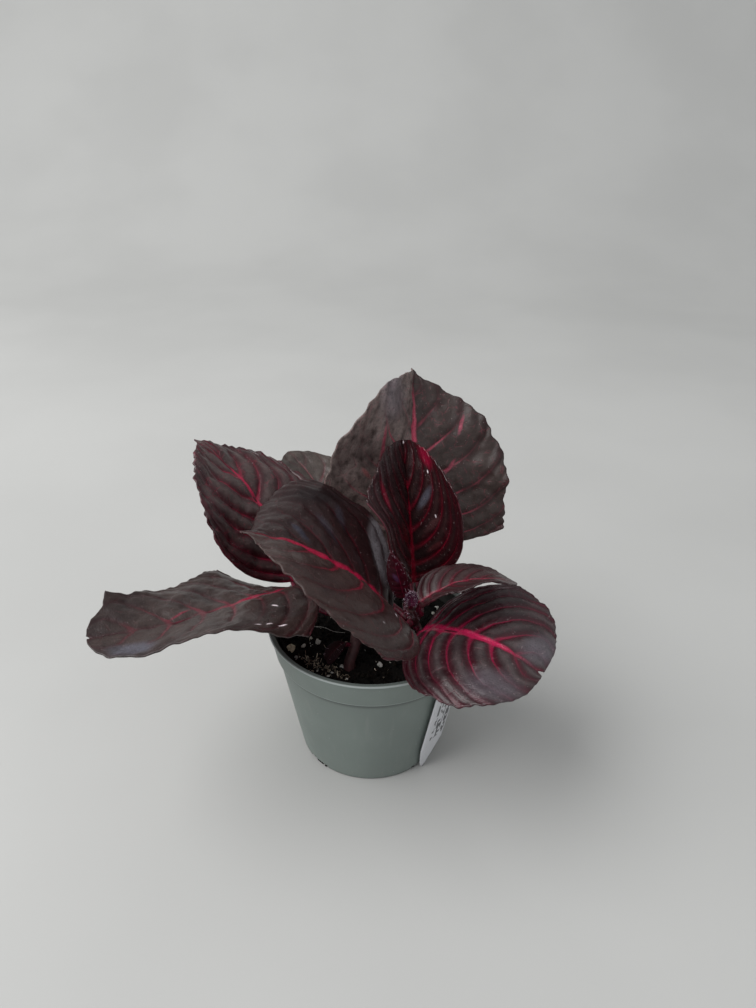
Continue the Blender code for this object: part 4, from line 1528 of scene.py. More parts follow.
SMOOTH = Half(fold=(20, 5), cup=(10, 10), wave=0.5, pillow=0.4)
FOLDED = Half(fold=(30, 20), cup=(10, 5))
LESS_FOLDED = Half(fold=(25, 20), cup=(10, 5))
DROOPING = Half(fold=(15, 5), cup=(-20, -5))
LEAVES = (
    Leaf(
        "leaf_front", base=(6.0, -11.0, 52.5), heading=211, rise=57, length=53,
        reach=(39, 45, 9, 0), droop=25, hook=20, sweep=-20, twist=20, turn=10,
        left=Half(fold=(-10, -15), cup=(-55, -20), wave=-0.5, pillow=0.4),
        right=Half(fold=(50, 25), cup=(30, 0), wave=1.0, pillow=0.8, lip=1.6),
        vein_angle=(100, 35), vein_curl=0.9, waves=2.0, flap=1.8, flap_at=0.14, flap_spread=0.2,
        stem="main_stem", joint_height=46.0, joint_azimuth=-120, look=FRONT,
    ),
    Leaf(
        "leaf_upper_left", base=(-22.9, 8.1, 50.0), heading=132, rise=63, length=53,
        reach=(29.5, 38.8, 11.4, 0), droop=35, hook=5, sweep=25, turn=15,
        left=Half(fold=(-5, 10), cup=(0, -5)),
        right=Half(fold=(15, -5), cup=(5, 0), wave=0.5),
        vein_angle=(80, 35), vein_curl=0.9, waves=2.0, scallop=0.025, crinkle=0.5, crumple=0.8,
        stem="side_stem", joint_height=50.0, joint_azimuth=145, look=CRIMSON,
    ),
    Leaf(
        "leaf_lower_left", base=(-22.0, -3.0, 55.0), heading=223, rise=13, length=55.5,
        reach=(26, 23, 23, 1), droop=30, hook=-30, sweep=-20, twist=30, turn=-10,
        left=Half(fold=(5, -20), cup=(-40, 30), wave=-2.5, pillow=0.55),
        right=Half(fold=(0, 40), cup=(10, -5), wave=2.0, pillow=0.55),
        vein_angle=(100, 50), waves=1.25, flap=3.5, flap_at=0.64,
        stem="side_stem", joint_height=54.0, joint_azimuth=150, look=GREY,
        slot=Slot.GREY_LEAF,
    ),
    Leaf(
        "leaf_right", base=(14.5, -8.0, 44.5), heading=-47, rise=37, length=38,
        reach=(26, 38, 18, 2), droop=55, hook=5, sweep=15, turn=-10,
        left=Half(fold=(15, 10), cup=(15, -10), pillow=1.15),
        right=Half(fold=(-10, 5), cup=(-30, -30), wave=1.0, pillow=1.15),
        vein_angle=(90, 60), vein_curl=0.75, waves=2.25, wave_start=30,
        stem="main_stem", joint_height=42.4, joint_azimuth=-50, look=RUBY,
        slot=Slot.GREY_LEAF,
    ),
    Leaf(
        "leaf_top", base=(12.6, 20.5, 53.4), heading=96, rise=81, length=57.3,
        reach=(25.1, 45.2, 11.1, 0), droop=35, hook=5, sweep=-5, twist=10, turn=25,
        left=Half(fold=(-20, 45), cup=(-15, -5), wave=1.0),
        right=Half(fold=(-15, 30), cup=(55, 15), wave=1.0, pillow=0.6),
        vein_angle=(95, 25), vein_curl=0.35, waves=3.25, wave_start=15, flap=3.5,
        scallop=0.024, crinkle=0.5, crumple=1.1,
        stem="main_stem", joint_height=43.8, joint_azimuth=60, look=CRINKLED,
    ),
    Leaf(
        "leaf_centre", base=(11.5, 4.4, 52.4), heading=96, rise=70, length=42.2,
        reach=(32.2, 25.1, 13.1, 0), droop=15, hook=15, sweep=5, twist=-5,
        left=Half(fold=(80, 50), cup=(5, -20), wave=1.5),
        right=Half(fold=(10, 60), cup=(50, 45)),
        vein_angle=(85, 25), vein_curl=0.95, waves=2.75, wave_start=45,
        crinkle=0.08, crumple=0.5,
        stem="main_stem", joint_height=46.6, joint_azimuth=105, look=DEEP,
    ),
    Leaf(
        "leaf_back_left", base=(-3.1, 24.0, 43.9), heading=130, rise=53, length=47.9,
        reach=(8.2, 24.5, 15.3, 0), droop=30, hook=5, sweep=5,
        left=SMOOTH, right=SMOOTH,
        vein_angle=(95, 50), waves=2.0,
        stem="main_stem", joint_height=42.0, joint_azimuth=135, look=BACK,
    ),
    Leaf(
        "leaf_small_right", base=(13.1, -11.1, 56.1), heading=8, rise=40, length=27.9,
        reach=(9.3, 17.7, 10.2, 0), droop=40, hook=15, sweep=-20, twist=-20, turn=-15,
        left=Half(fold=(40, 5), cup=(10, 5), wave=0.5),
        right=Half(fold=(-5, -10), cup=(15, 10), wave=1.5),
        vein_angle=(90, 45), vein_curl=0.8, waves=1.75, wave_start=-45,
        stem="main_stem", joint_height=50.2, joint_azimuth=-20, look=STRIPED,
        petiole_radius=0.8, rows_per_space=12, columns=36,
    ),
    Leaf(
        "young_leaf_left", base=(9.2, -6.7, 55.1), heading=192, rise=77, length=15.5,
        reach=(3.0, 5.6, 3.8, 0), droop=5, twist=-112,
        left=FOLDED, right=FOLDED, vein_angle=(90, 40),
        stem="main_stem", joint_height=50.0, joint_azimuth=170, look=YOUNG,
        petiole_radius=0.6, rows_per_space=4, columns=12, slot=Slot.RED_LEAF,
    ),
    Leaf(
        "young_leaf_tip", base=(11.0, -11.6, 55.7), heading=80, rise=85, length=5.0,
        reach=(1.8, 3.2, 2, 0), droop=-20,
        left=LESS_FOLDED, right=LESS_FOLDED, vein_angle=(90, 40),
        stem="main_stem", joint_height=53.5, joint_azimuth=0, look=YOUNG_PURPLE,
        petiole_radius=0.5, rows_per_space=4, columns=10, slot=Slot.RED_LEAF,
    ),
    Leaf(
        "young_leaf_side", base=(-7.2, -14.2, 44.6), heading=215, rise=-10, length=6.8,
        reach=(3.6, 5.8, 3.6, 0), droop=45, twist=15,
        left=DROOPING, right=DROOPING, vein_angle=(90, 40),
        stem="side_stem", joint_height=43.0, joint_azimuth=205, look=YOUNG_BROWN,
        petiole_radius=0.6, rows_per_space=4, columns=10, slot=Slot.RED_LEAF,
    ),
)


# Pot


ROUND_TURNS = (0, 30, 60, 90)


@dataclass
class Pot:
    """The thin-walled tapered pot with its lip, collar band and drain notches."""

    height: float = 43.0
    rim_radius: float = 30.0
    foot_radius: float = 21.3
    body_top_radius: float = 27.6
    collar_height: float = 8.1
    collar_step: float = 0.6
    collar_top_radius: float = 29.5
    lip_height: float = 0.9
    lip_slope: float = 0.3
    lip_round: float = 0.25
    wall: float = 1.0
    floor: float = 1.2
    foot_round: float = 0.6
    sides: int = 192
    body_steps: int = 9
    sharp_angle: float = 22.0
    drain_count: int = 4
    drain_width: float = 7.5
    drain_height: float = 1.1
    drain_depth: float = 3.0
    finish: PotFinish = field(default_factory=PotFinish)

    @property
    def step_height(self) -> float:
        """Height of the step under the collar."""
        return self.height - self.collar_height

    def inner_radius(self, height: float) -> float:
        """Find the inside radius of the wall.

        Args:
            height: The height at which it is wanted.

        Returns:
            The radius.
        """
        low = self.foot_radius - self.wall
        middle = self.body_top_radius - self.wall
        top = self.collar_top_radius - self.wall
        if height < self.step_height:
            return low + (middle - low) * (height - self.floor) / (self.step_height - self.floor)
        share = (height - self.step_height) / (self.collar_height - self.lip_height)
        return middle + (top - middle) * share

    def outer_radius(self, height: float) -> float:
        """Return the outside radius of the body at a height below the collar."""
        rise = self.body_top_radius - self.foot_radius
        return self.foot_radius + rise * height / self.step_height

    def profile(self) -> list[tuple[float, float]]:
        """Lay out the section of wall and floor, from the middle of the base outward.

        Returns:
            The section's radii and heights.
        """
        lip_foot = self.height - self.lip_height
        step = self.step_height
        corner = self.foot_round
        collar_foot_radius = self.body_top_radius + self.collar_step
        arc = []
        for degrees in ROUND_TURNS:
            turn = math.radians(degrees)
            radius = self.foot_radius - corner + corner * math.sin(turn) + 0.1 * corner
            arc.append((min(radius, self.outer_radius(corner)), corner - corner * math.cos(turn)))
        body = []
        for index in range(1, self.body_steps):
            level = corner + (step - self.collar_step - corner) * index / self.body_steps
            body.append((self.outer_radius(level), level))
        rim = []
        for degrees in ROUND_TURNS:
            turn = math.radians(degrees)
            rim.append((
                self.rim_radius - self.lip_round + self.lip_round * math.cos(turn),
                self.height - self.lip_round + self.lip_round * math.sin(turn),
            ))
        return [
            (0.0, 0.0), (0.5 * self.foot_radius, 0.0), *arc, *body,
            (self.outer_radius(step - self.collar_step), step - self.collar_step),
            (collar_foot_radius, step),
            (0.5 * (collar_foot_radius + self.collar_top_radius), 0.5 * (step + lip_foot)),
            (self.collar_top_radius, lip_foot),
            (self.rim_radius, lip_foot + self.lip_slope), *rim,
            (self.inner_radius(lip_foot) + self.lip_round, self.height),
            (self.inner_radius(lip_foot), self.height - self.lip_round),
            (self.inner_radius(step), step),
            (self.inner_radius(self.floor), self.floor),
            (0.5 * self.foot_radius, self.floor), (0.0, self.floor),
        ]

    def notch(self, index: int) -> bpy.types.Object:
        """Make a cutter for one drain notch at the foot.

        Args:
            index: The notch's number.

        Returns:
            The cutter's object, whose mesh is in metres.
        """
        azimuth = 2.0 * math.pi * (index + 0.5) / self.drain_count
        bm = bmesh.new()
        bmesh.ops.create_cube(bm, size=1.0)
        size = Vector((2.0 * self.drain_depth, self.drain_width, 2.0 * self.drain_height))
        bmesh.ops.scale(bm, vec=size * MM, verts=bm.verts)
        upper = []
        for edge in bm.edges:
            low, high = (vert.co for vert in edge.verts)
            if low.z > 0.0 and high.z > 0.0 and math.isclose(low.y, high.y, abs_tol=1e-7):
                upper.append(edge)
        bmesh.ops.bevel(
            bm, geom=upper, offset=0.6 * self.drain_height * MM, offset_type="OFFSET",
            affect="EDGES", segments=4, profile=0.5, material=-1,
        )
        out = Matrix.Translation((self.foot_radius * MM, 0.0, 0.0))
        turn = Matrix.Rotation(azimuth, 4, "Z")
        bmesh.ops.transform(bm, matrix=turn @ out, verts=bm.verts)
        return make_object(f"notch_{index}", bm, smooth=False)

    def build(self) -> bpy.types.Object:
        """Make the pot and cut its drain notches.

        Returns:
            The pot's object.
        """
        bm = turned(self.profile(), self.sides)
        pot = make_piece("nursery_pot", bm, [self.finish.material()], ["pot"])
        for index in range(self.drain_count):
            cutter = self.notch(index)
            cut = pot.modifiers.new(cutter.name, "BOOLEAN")
            cut.operation = "DIFFERENCE"
            cut.object = cutter
            cut.solver = "EXACT"
            graph = bpy.context.evaluated_depsgraph_get()
            mesh = bpy.data.meshes.new_from_object(pot.evaluated_get(graph))
            pot.modifiers.clear()
            pot.data = mesh
            bpy.data.objects.remove(cutter)
        pot.data.set_sharp_from_angle(angle=math.radians(self.sharp_angle))
        return pot


# Soil


PEAT = GrainFinish(
    "peat", dark=(0.0018, 0.0015, 0.0013), pale=(0.009, 0.006, 0.004), roughness=1.0,
)
PEAT_CRUMBS = GrainFinish(
    "peat_crumbs", dark=(0.0015, 0.0012, 0.001), pale=(0.012, 0.008, 0.005),
    roughness=1.0, scale=2500.0,
)
PERLITE = GrainFinish(
    "perlite", dark=(0.26, 0.22, 0.15), pale=(0.62, 0.62, 0.58), roughness=0.85, scale=3000.0,
)
WEATHERED = GrainFinish(
    "weathered_perlite", dark=(0.16, 0.10, 0.05), pale=(0.74, 0.68, 0.50),
    roughness=0.85, scale=1300.0,
)
BARK = GrainFinish(
    "bark_fibres", dark=(0.07, 0.04, 0.022), pale=(0.86, 0.76, 0.60),
    roughness=0.7, scale=2500.0,
)
PALE_FIBRE = GrainFinish(
    "pale_fibre", dark=(0.25, 0.24, 0.22), pale=(0.42, 0.41, 0.38), roughness=0.6, scale=2500.0,
)


@dataclass(frozen=True)
class Bit:
    """One loose bit: where it lies, its radius and its tone from dark 0 to pale 1."""

    x: float
    y: float
    radius: float
    tone: float
    z: float | None = None


@dataclass
class Soil:
    """The potting mix: rough ground, loose crumbs, perlite, bark fibres and a pale thread.

    waves give the ground's low swells by azimuth, pitch, height and start. Most fibres lie
    along a line by the front rim, from fibre_line on by fibre_way, and thread_way gives the
    thread's points by their place and their height above the ground.
    """

    pot: Pot
    below_rim: float = 5.0
    gap: float = 0.3
    edge_gap: float = 0.6
    waves: tuple[tuple[float, float, float, float], ...] = (
        (25, 9.0, 0.3, 40), (80, 12.0, 0.25, 115), (140, 7.0, 0.2, 230), (55, 5.5, 0.12, 0),
    )
    rings: int = 88
    sides: int = 320
    crumb_count: int = 1500
    crumb_sizes: Span = (0.18, 0.85)
    perlite_count: int = 46
    perlite_sizes: Span = (0.16, 0.42)
    fibre_count: int = 210
    perlite_bits: tuple[Bit, ...] = (
        Bit(-19.5, -6.7, 0.75, 0.7), Bit(-15.3, -5.3, 0.85, 0.7), Bit(-21.0, -11.4, 0.6, 0.8),
        Bit(-7.9, -15.2, 0.6, 1.0), Bit(2.7, -15.0, 0.7, 1.0), Bit(7.2, 10.6, 1.0, 1.0),
        Bit(20.3, 13.5, 0.8, 0.9), Bit(-10.5, -18.3, 0.42, 1.0), Bit(-11.4, -18.9, 0.4, 1.0),
        Bit(-6.3, -20.4, 0.42, 1.0), Bit(-17.4, -3.6, 0.5, 0.6), Bit(5.5, -13.4, 0.35, 0.8),
        Bit(-16.9, -7.0, 0.36, 1.0), Bit(-14.6, -17.0, 0.3, 1.0), Bit(18.8, 8.4, 0.6, 0.6),
        Bit(-1.9, -19.4, 0.4, 0.3), Bit(-15.9, -17.6, 0.3, 0.9), Bit(-9.0, -11.9, 0.3, 0.4),
    )
    weathered_bit: Bit = Bit(-22.6, -8.9, 1.35, 0.85)
    # Dark crumbs in the drain notches stand for the shade there.
    dirt_per_notch: int = 34
    shade_crumb_depth: Span = (0.2, 1.3)
    shade_crumb_sizes: Span = (0.22, 0.4)
    bit_stretch: tuple[Span, Span, Span] = ((0.8, 1.15), (0.75, 1.1), (0.6, 0.95))
    bit_lumps: float = 0.6
    fibre_line: Span = (-19.5, -11.5)
    fibre_way: Span = (13.0, -8.6)
    fibre_spread: float = 22.0
    fibre_sizes: Span = (0.3, 1.1)
    fibre_radii: Span = (0.05, 0.13)
    fibre_taper: tuple[float, ...] = (1.0, 1.3, 1.3, 1.0, 0.5)
    thread_way: tuple[Point, ...] = (
        (-17.5, 0.7, 0.35), (-14.2, 0.1, 0.9), (-10.6, -1.5, 0.9), (-7.6, -2.2, 0.4),
    )
    thread_radius: float = 0.09

    @property
    def level(self) -> float:
        """Mean height of the soil's surface."""
        return self.pot.height - self.below_rim

    @property
    def radius(self) -> float:
        """Radius of the soil's surface."""
        return self.pot.inner_radius(self.level) - self.edge_gap

    def surface(self, x: float, y: float) -> float:
        """Find the ground's height without its crumbly relief.

        Args:
            x: How far right of the pot's middle.
            y: How far behind it.

        Returns:
            The height.
        """
        height = self.level
        for azimuth, pitch, rise, start in self.waves:
            turn = math.radians(azimuth)
            way = x * math.cos(turn) + y * math.sin(turn)
            height += rise * math.sin(2.0 * math.pi * way / pitch + math.radians(start))
        return height

    def rough(self, x: float, y: float) -> float:
        """Find the ground's height with its crumbly relief.

        Args:
            x: How far right of the pot's middle.
            y: How far behind it.

        Returns:
            The height.
        """
        lumps = noise.turbulence(Vector((x / 2.6, y / 2.6, 0.0)), 4, False)
        fine = noise.turbulence(Vector((x / 0.8, y / 0.8, 7.0)), 2, True)
        fade = min(1.0, (self.radius - math.hypot(x, y)) / 2.0)
        return self.surface(x, y) + fade * (1.1 * (lumps - 0.45) + 0.35 * (fine - 0.5))

    def ground(self, finish: bpy.types.Material) -> bpy.types.Object:
        """Make the body of the soil with its rough top.

        Args:
            finish: Its material.

        Returns:
            The soil's object.
        """
        step = self.pot.step_height
        bottom = self.pot.floor + self.gap
        radii = [self.radius * index / self.rings for index in range(self.rings + 1)]
        profile = [(radius, self.level) for radius in radii]
        profile += [
            (self.pot.inner_radius(step) - self.gap, step),
            (self.pot.inner_radius(bottom) - self.gap, bottom),
            (0.0, bottom),
        ]
        bm = turned(profile, self.sides)
        tone = bm.verts.layers.float.new("tone")
        for vert in bm.verts:
            if vert.co.z > 0.5 * (self.level + step):
                vert.co.z = self.rough(vert.co.x, vert.co.y)
            vert[tone] = 0.25 * noise.noise(vert.co / 1.7) + 0.15
        return make_piece("potting_mix", bm, [finish], ["soil"])

    def scatter(
        self, name: str, finish: bpy.types.Material, bits: Sequence[Bit], detail: int, seed: int
    ) -> bpy.types.Object:
        """Make loose bits, which lie on the soil unless they have a height of their own.

        Args:
            name: The piece's name.
            finish: Its material.
            bits: The bits.
            detail: How many times the bits' faces are divided.
            seed: What the bits' shapes are drawn from.

        Returns:
            The piece.
        """
        draw = random.Random(seed)
        bm = bmesh.new()
        tone = bm.verts.layers.float.new("tone")
        for bit in bits:
            made = bmesh.ops.create_icosphere(bm, subdivisions=detail, radius=bit.radius)["verts"]
            stretch = Vector([draw.uniform(*span) for span in self.bit_stretch])
            shift = Vector([draw.uniform(-99, 99) for _ in range(3)])
            for vert in made:
                lump = noise.noise(vert.co / (0.9 * bit.radius) + shift)
                vert.co *= 1.0 + self.bit_lumps * lump
                vert.co *= stretch
                vert[tone] = bit.tone
            turn = Matrix.Rotation(draw.uniform(0.0, 6.28), 4, "Z")
            turn = turn @ Matrix.Rotation(draw.uniform(-0.6, 0.6), 4, "X")
            height = bit.z
            if height is None:
                height = self.rough(bit.x, bit.y) + 0.25 * bit.radius
            place = Matrix.Translation((bit.x, bit.y, height))
            bmesh.ops.transform(bm, matrix=place @ turn, verts=made)
        return make_piece(name, bm, [finish], ["soil"], smooth=False)

    def drawn_bits(self, count: int, sizes: Span, least: float, seed: int) -> list[Bit]:
        """Draw random bits on the soil, clear of its edge and of the stems.

        Args:
            count: How many are wanted.
            sizes: The least and the largest radius.
            least: The least tone.
            seed: What they are drawn from.

        Returns:
            The bits.
        """
        draw = random.Random(seed)
        found = []
        while len(found) < count:
            radius = sizes[0] + (sizes[1] - sizes[0]) * draw.random() ** 3
            far = (self.radius - radius - 0.3) * math.sqrt(draw.random())
            azimuth = draw.uniform(0.0, 2.0 * math.pi)
            x, y = far * math.cos(azimuth), far * math.sin(azimuth)
            if all(math.dist((x, y), stem.foot) > stem.foot_radius + radius for stem in STEMS):
                found.append(Bit(x, y, radius, least + (1.0 - least) * draw.random() ** 2))
        return found

    def notch_shade_crumbs(self, seed: int) -> list[Bit]:
        """Draw dark crumbs that fill the drain notches and stand for the shade in them.

        Args:
            seed: What they are drawn from.

        Returns:
            The crumbs, which stand on the ground under the pot.
        """
        draw = random.Random(seed)
        pot = self.pot
        found = []
        for index in range(pot.drain_count):
            azimuth = 2.0 * math.pi * (index + 0.5) / pot.drain_count
            for _ in range(self.dirt_per_notch):
                inward = pot.foot_radius - draw.uniform(*self.shade_crumb_depth)
                side = draw.uniform(-0.42, 0.42) * pot.drain_width
                x = inward * math.cos(azimuth) - side * math.sin(azimuth)
                y = inward * math.sin(azimuth) + side * math.cos(azimuth)
                radius = draw.uniform(*self.shade_crumb_sizes)
                found.append(Bit(x, y, radius, 0.05 * draw.random(), radius))
        return found

    def fibres(self, finish: bpy.types.Material, seed: int) -> bpy.types.Object:
        """Make the thin bark and root fibres, most of them by the front rim.

        Args:
            finish: Their material.
            seed: What they are drawn from.

        Returns:
            The fibres' object.
        """
        draw = random.Random(seed)
        bm = bmesh.new()
        bm.verts.layers.float.new("tone")
        for index in range(self.fibre_count):
            if index % 3:
                on = draw.random()
                x = self.fibre_line[0] + self.fibre_way[0] * on + draw.gauss(0.0, 1.3)
                y = self.fibre_line[1] + self.fibre_way[1] * on + draw.gauss(0.0, 1.2)
            else:
                x = draw.uniform(-self.fibre_spread, self.fibre_spread)
                y = draw.uniform(-self.fibre_spread, self.fibre_spread)
            if math.hypot(x, y) > self.radius - 2.5:
                continue
            azimuth = draw.uniform(0.0, 2.0 * math.pi)
            length = draw.uniform(*self.fibre_sizes)
            bend = draw.uniform(-0.7, 0.7)
            lift = draw.uniform(0.05, 0.45)
            way = []
            for step in range(5):
                share = step / 4.0 - 0.5
                turn = azimuth + bend * share
                px = x + length * share * math.cos(turn)
                py = y + length * share * math.sin(turn)
                way.append(Vector((px, py, self.rough(px, py) + 0.1 + lift * (0.5 + share))))
            radius = draw.uniform(*self.fibre_radii)
            shade = draw.random() ** 2.4
            radii = [radius * part for part in self.fibre_taper]
            add_tube(bm, way, radii, 4, [shade] * len(way))
        bmesh.ops.recalc_face_normals(bm, faces=bm.faces)
        return make_piece("soil_fibres", bm, [finish], ["soil"])

    def thread(self, finish: bpy.types.Material) -> bpy.types.Object:
        """Make the pale thread that lies across the soil at the left.

        Args:
            finish: Its material.

        Returns:
            The thread's object.
        """
        points = [Vector((x, y, self.surface(x, y) + lift)) for x, y, lift in self.thread_way]
        bm = bmesh.new()
        bm.verts.layers.float.new("tone")
        way = smooth_way(points, 6)
        add_tube(bm, way, [self.thread_radius] * len(way), 6, [0.8] * len(way))
        bmesh.ops.recalc_face_normals(bm, faces=bm.faces)
        return make_piece("pale_thread", bm, [finish], ["soil"])

    def build(self) -> None:
        """Make the soil and all that lies on it."""
        self.ground(PEAT.material())
        crumbs = self.drawn_bits(self.crumb_count, self.crumb_sizes, least=0.0, seed=11)
        # Dark crumbs in the drain notches stand for the shade there.
        crumbs += self.notch_shade_crumbs(seed=13)
        self.scatter("peat_crumbs", PEAT_CRUMBS.material(), crumbs, detail=1, seed=12)
        small = self.drawn_bits(self.perlite_count, self.perlite_sizes, least=0.6, seed=21)
        white = [*self.perlite_bits, *small]
        self.scatter("perlite_bits", PERLITE.material(), white, detail=2, seed=22)
        cream = [self.weathered_bit]
        self.scatter("weathered_perlite", WEATHERED.material(), cream, detail=4, seed=3)
        self.fibres(BARK.material(), seed=31)
        self.thread(PALE_FIBRE.material())


# Label


@dataclass
class Label:
    """The pointed strip of white plastic that hangs over the rim."""

    pot: Pot
    width: float = 9.6
    thickness: float = 0.6
    slack: float = 0.1
    point: float = 9.0
    point_shift: float = -2.0
    azimuth: float = -40.6
    tail: float = 3.6
    tail_lean: float = 0.8
    corner_share: float = 0.4
    gap: float = 0.3
    columns: int = 8
    rows: int = 60
    row_crowding: float = 1.15
    blunt_share: float = 0.08
    point_bulge: float = 0.8
    finish: LabelFinish = field(default_factory=LabelFinish)

    def line(self) -> list[Vector]:
        """Lay out the label's middle line, from its tip up over the rim to its inner tail.

        Returns:
            The line's corners, in the plane of the label's azimuth.
        """
        pot = self.pot
        off = 0.5 * self.thickness + self.gap
        sagitta = pot.rim_radius - math.sqrt(pot.rim_radius ** 2 - (0.5 * self.width) ** 2)
        outside = pot.rim_radius + off
        inside = pot.inner_radius(pot.height - pot.lip_height) - off - sagitta
        over = pot.height + off
        corner = 0.5 * self.corner_share * (outside - inside)
        knots = [
            (pot.foot_radius + off + self.gap, self.gap),
            (pot.body_top_radius + pot.collar_step + off, pot.step_height - self.gap),
            (outside, pot.height - pot.lip_height),
            (outside, over - corner),
            (outside - corner, over),
            (inside + corner, over),
            (inside, over - corner),
            (inside - self.tail_lean, pot.height - self.tail),
        ]
        return [Vector((radius, 0.0, height)) for radius, height in knots]

    def build(self) -> bpy.types.Object:
        """Make the strip, pointed at its outer end, and bend it over the rim.

        Returns:
            The label's object, whose mesh holds the places down and across the strip.
        """
        line = self.line()
        lengths = [0.0]
        for low, high in zip(line, line[1:]):
            lengths.append(lengths[-1] + (high - low).length)
        bm = bmesh.new()
        bmesh.ops.create_grid(bm, x_segments=self.columns, y_segments=self.rows, size=1.0)
        down = bm.verts.layers.float.new("down")
        across = bm.verts.layers.float.new("across")
        top = lengths[3]
        for vert in bm.verts:
            way = lengths[-1] * (0.5 * (vert.co.y + 1.0)) ** self.row_crowding
            index = max(i for i, length in enumerate(lengths[:-1]) if length <= way + 1e-6)
            share = (way - lengths[index]) / (lengths[index + 1] - lengths[index])
            centre = line[index].lerp(line[index + 1], share)
            taper = min(1.0, way / self.point)
            pointed = (1.0 - self.blunt_share) * taper ** self.point_bulge
            half_width = 0.5 * self.width * (self.blunt_share + pointed)
            side = self.point_shift * (1.0 - taper) + half_width * vert.co.x
            vert[down] = top - way
            vert[across] = side
            vert.co = centre + Vector((0.0, side, 0.0))
        turn = Matrix.Rotation(math.radians(self.azimuth), 4, "Z")
        bmesh.ops.transform(bm, matrix=turn, verts=bm.verts)
        piece = make_piece("plant_label", bm, [self.finish.material()], ["label"])
        thicken(piece, self.thickness - self.slack)
        return piece


# Hairs on the young growth


@dataclass
class Hairs:
    """Fine pale hairs on the shoot's tip and on the young leaves."""

    length: Span = (0.6, 2.0)
    radius: float = 0.036
    counts: dict[str, int] = field(default_factory=lambda: {
        "young_leaf_left": 50, "young_leaf_tip": 120, "young_leaf_side": 8,
    })
    tip_count: int = 90
    tip_heights: Span = (49.5, 53.2)
    tip_length: Span = (0.6, 1.8)
    seed: int = 5
    finish: HairFinish = field(default_factory=HairFinish)

    def add(self, bm: bmesh.types.BMesh, root: Vector, way: Vector, length: float) -> None:
        """Add one hair, bent a little and drawn out to a point.

        Args:
            bm: The mesh that it is added to.
            root: Where it grows.
            way: Its direction.
            length: Its length.
        """
        droop = Vector((0.0, 0.0, -0.15 * length))
        centres = [root, root + way * (0.5 * length), root + way * length + droop]
        radii = [self.radius, 0.75 * self.radius, 0.25 * self.radius]
        add_tube(bm, centres, radii, 3, (0.0, 0.5, 1.0))

    def build(self, leaves: Sequence[Leaf]) -> bpy.types.Object:
        """Make the hairs of the young leaves and of the main stem's tip.

        Args:
            leaves: The young leaves.

        Returns:
            The hairs' object.
        """
        draw = random.Random(self.seed)
        bm = bmesh.new()
        bm.verts.layers.float.new("tone")
        for leaf in leaves:
            form = Blade(leaf)
            for _ in range(self.counts[leaf.name]):
                side = draw.choice((1, -1))
                origin = np.array([draw.random()])
                out = np.array([max(draw.random(), draw.random())])
                root = Vector(form.surface(side, origin, out)[0])
                edge = Vector(form.surface(side, origin, out + 0.1)[0]) - root
                up = Vector(form.frame(origin)[2][0])
                stray = Vector([draw.gauss(lean, 0.35) for lean in (0, 0, 0.4)])
                way = edge.normalized() * draw.uniform(0.0, 0.8) + up * draw.uniform(0.2, 0.9)
                way = (way + stray).normalized()
                self.add(bm, root, way, draw.uniform(*self.length))
        stem = STEMS[0]
        for _ in range(self.tip_count):
            height = draw.uniform(*self.tip_heights)
            centre, along, out = stem.outward(height, draw.uniform(0.0, 2.0 * math.pi))
            way = (out + along * draw.uniform(0.2, 1.2)).normalized()
            root = centre + out * stem.radius(height) * 0.95
            self.add(bm, root, way, draw.uniform(*self.tip_length))
        bmesh.ops.recalc_face_normals(bm, faces=bm.faces)
        pale = self.finish.material()
        return make_piece("young_growth_hairs", bm, [pale], ["young_leaf_tip"])


# Stage, light and camera


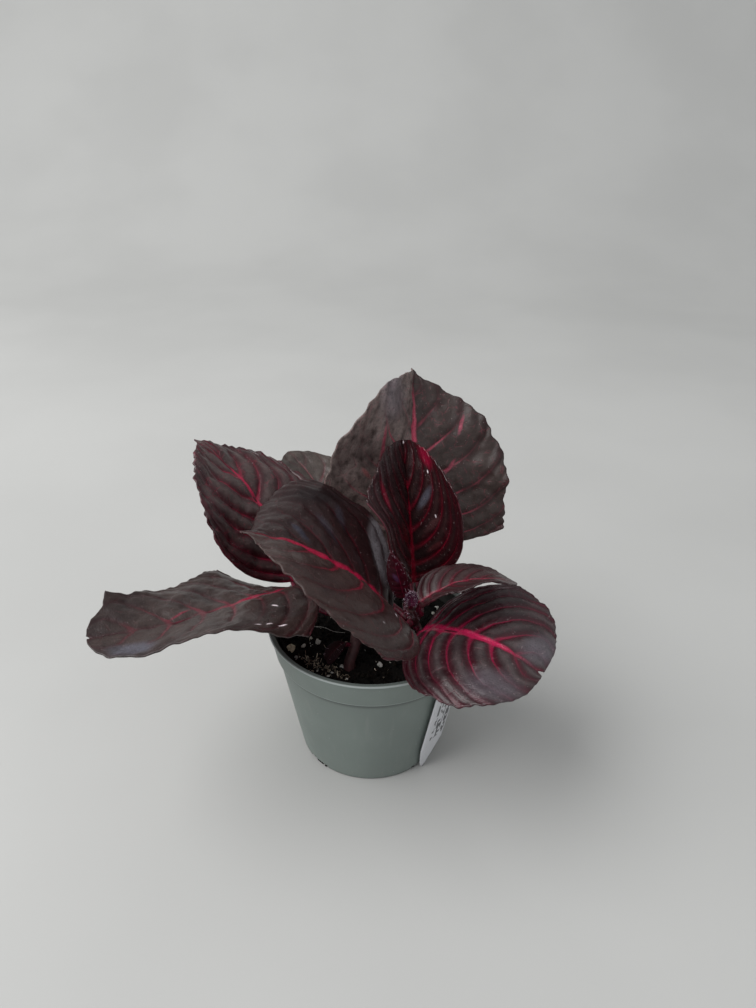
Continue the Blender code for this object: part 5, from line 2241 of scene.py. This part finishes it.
@dataclass
class Studio:
    """Plain pale floor that turns up into a backdrop, soft light and the photo's camera.

    Floor and light are in metres, the camera's place in millimetres, and its focal length
    is in the photo's pixels.
    """

    floor_colour: Colour = (0.50, 0.50, 0.485)
    floor_half_width: float = 2.5
    floor_front: float = -1.5
    bend_start: float = 0.55
    bend_radius: float = 0.5
    bend_steps: int = 12
    wall_height: float = 1.8
    camera_place: Point = (1.573, -179.0, 176.988)
    camera_pitch: float = 28.32
    camera_roll: float = 0.69
    focal_pixels: float = 757.0
    image_height: float = 1008.0
    sensor_height: float = 36.0
    nearest: float = 0.005
    sky: Colour = (0.95, 0.97, 1.0)
    sky_strength: float = 0.6
    key_strength: float = 14.5
    key_size: float = 1.2
    key_place: Point = (-0.72, -0.2, 0.9)
    key_aim: Point = (0.0, 0.0, 0.05)

    def floor(self) -> bpy.types.Object:
        """Make the floor and backdrop in one sheet.

        Returns:
            The sheet's object.
        """
        profile = [(self.floor_front, 0.0), (0.0, 0.0), (self.bend_start, 0.0)]
        for step in range(1, self.bend_steps + 1):
            turn = 0.5 * math.pi * step / self.bend_steps
            profile.append((
                self.bend_start + self.bend_radius * math.sin(turn),
                self.bend_radius * (1.0 - math.cos(turn)),
            ))
        profile.append((self.bend_start + self.bend_radius, self.wall_height))
        bm = bmesh.new()
        line = [bm.verts.new((-self.floor_half_width, y, z)) for y, z in profile]
        edges = [bm.edges.new(pair) for pair in zip(line, line[1:])]
        made = bmesh.ops.extrude_edge_only(bm, edges=edges)["geom"]
        moved = [item for item in made if isinstance(item, bmesh.types.BMVert)]
        bmesh.ops.translate(bm, vec=(2.0 * self.floor_half_width, 0.0, 0.0), verts=moved)
        bmesh.ops.recalc_face_normals(bm, faces=bm.faces)
        sheet = NodeSheet("pale_paper")
        paper = sheet.grain(sheet.place(), 6.0)
        shade = tuple(0.93 * part for part in self.floor_colour)
        colour = sheet.blend(paper.rise(0.3, 0.7), self.floor_colour, shade)
        item = make_object("studio_floor", bm, [sheet.finish(Base_Color=colour, Roughness=0.9)])
        return item

    def light(self) -> None:
        """Set the soft sky and one large soft light above."""
        scene = bpy.context.scene
        world = bpy.data.worlds.new("soft_sky")
        world.use_nodes = True
        background = world.node_tree.nodes["Background"]
        background.inputs["Color"].default_value = (*self.sky, 1.0)
        background.inputs["Strength"].default_value = self.sky_strength
        scene.world = world
        lamp = bpy.data.lights.new("key", "AREA")
        lamp.shape = "DISK"
        lamp.size = self.key_size
        lamp.energy = self.key_strength
        item = bpy.data.objects.new("key", lamp)
        item.location = self.key_place
        aim = Vector(self.key_aim) - Vector(self.key_place)
        item.rotation_euler = aim.to_track_quat("-Z", "Y").to_euler()
        scene.collection.objects.link(item)
        scene.view_settings.view_transform = "Standard"

    def camera(self) -> None:
        """Place the camera as the photo was taken."""
        data = bpy.data.cameras.new("photo_view")
        data.sensor_fit = "VERTICAL"
        data.sensor_height = self.sensor_height
        data.lens = self.focal_pixels / self.image_height * self.sensor_height
        data.clip_start = self.nearest
        item = bpy.data.objects.new("photo_view", data)
        tilt = Matrix.Rotation(math.radians(90.0 - self.camera_pitch), 4, "X")
        roll = Matrix.Rotation(math.radians(self.camera_roll), 4, "Z")
        place = Matrix.Translation(Vector(self.camera_place) * MM)
        item.matrix_world = place @ tilt @ roll
        bpy.context.scene.collection.objects.link(item)
        bpy.context.scene.camera = item

    def build(self) -> None:
        """Set up floor, light and camera."""
        self.floor()
        self.light()
        self.camera()


def main() -> None:
    """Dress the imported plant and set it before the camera."""
    logging.basicConfig(level=logging.INFO, format="%(name)s %(message)s")
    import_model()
    pot = Pot()
    pot.build()
    Soil(pot).build()
    Label(pot).build()
    bark = DARK_STEM.material()
    for stem in STEMS:
        stem.build(bark)
    Foliage(LEAVES, CRIMSON_PETIOLE.material()).build()
    Hairs().build([leaf for leaf in LEAVES if leaf.slot is Slot.RED_LEAF])
    Studio().build()


if __name__ == "__main__":
    main()
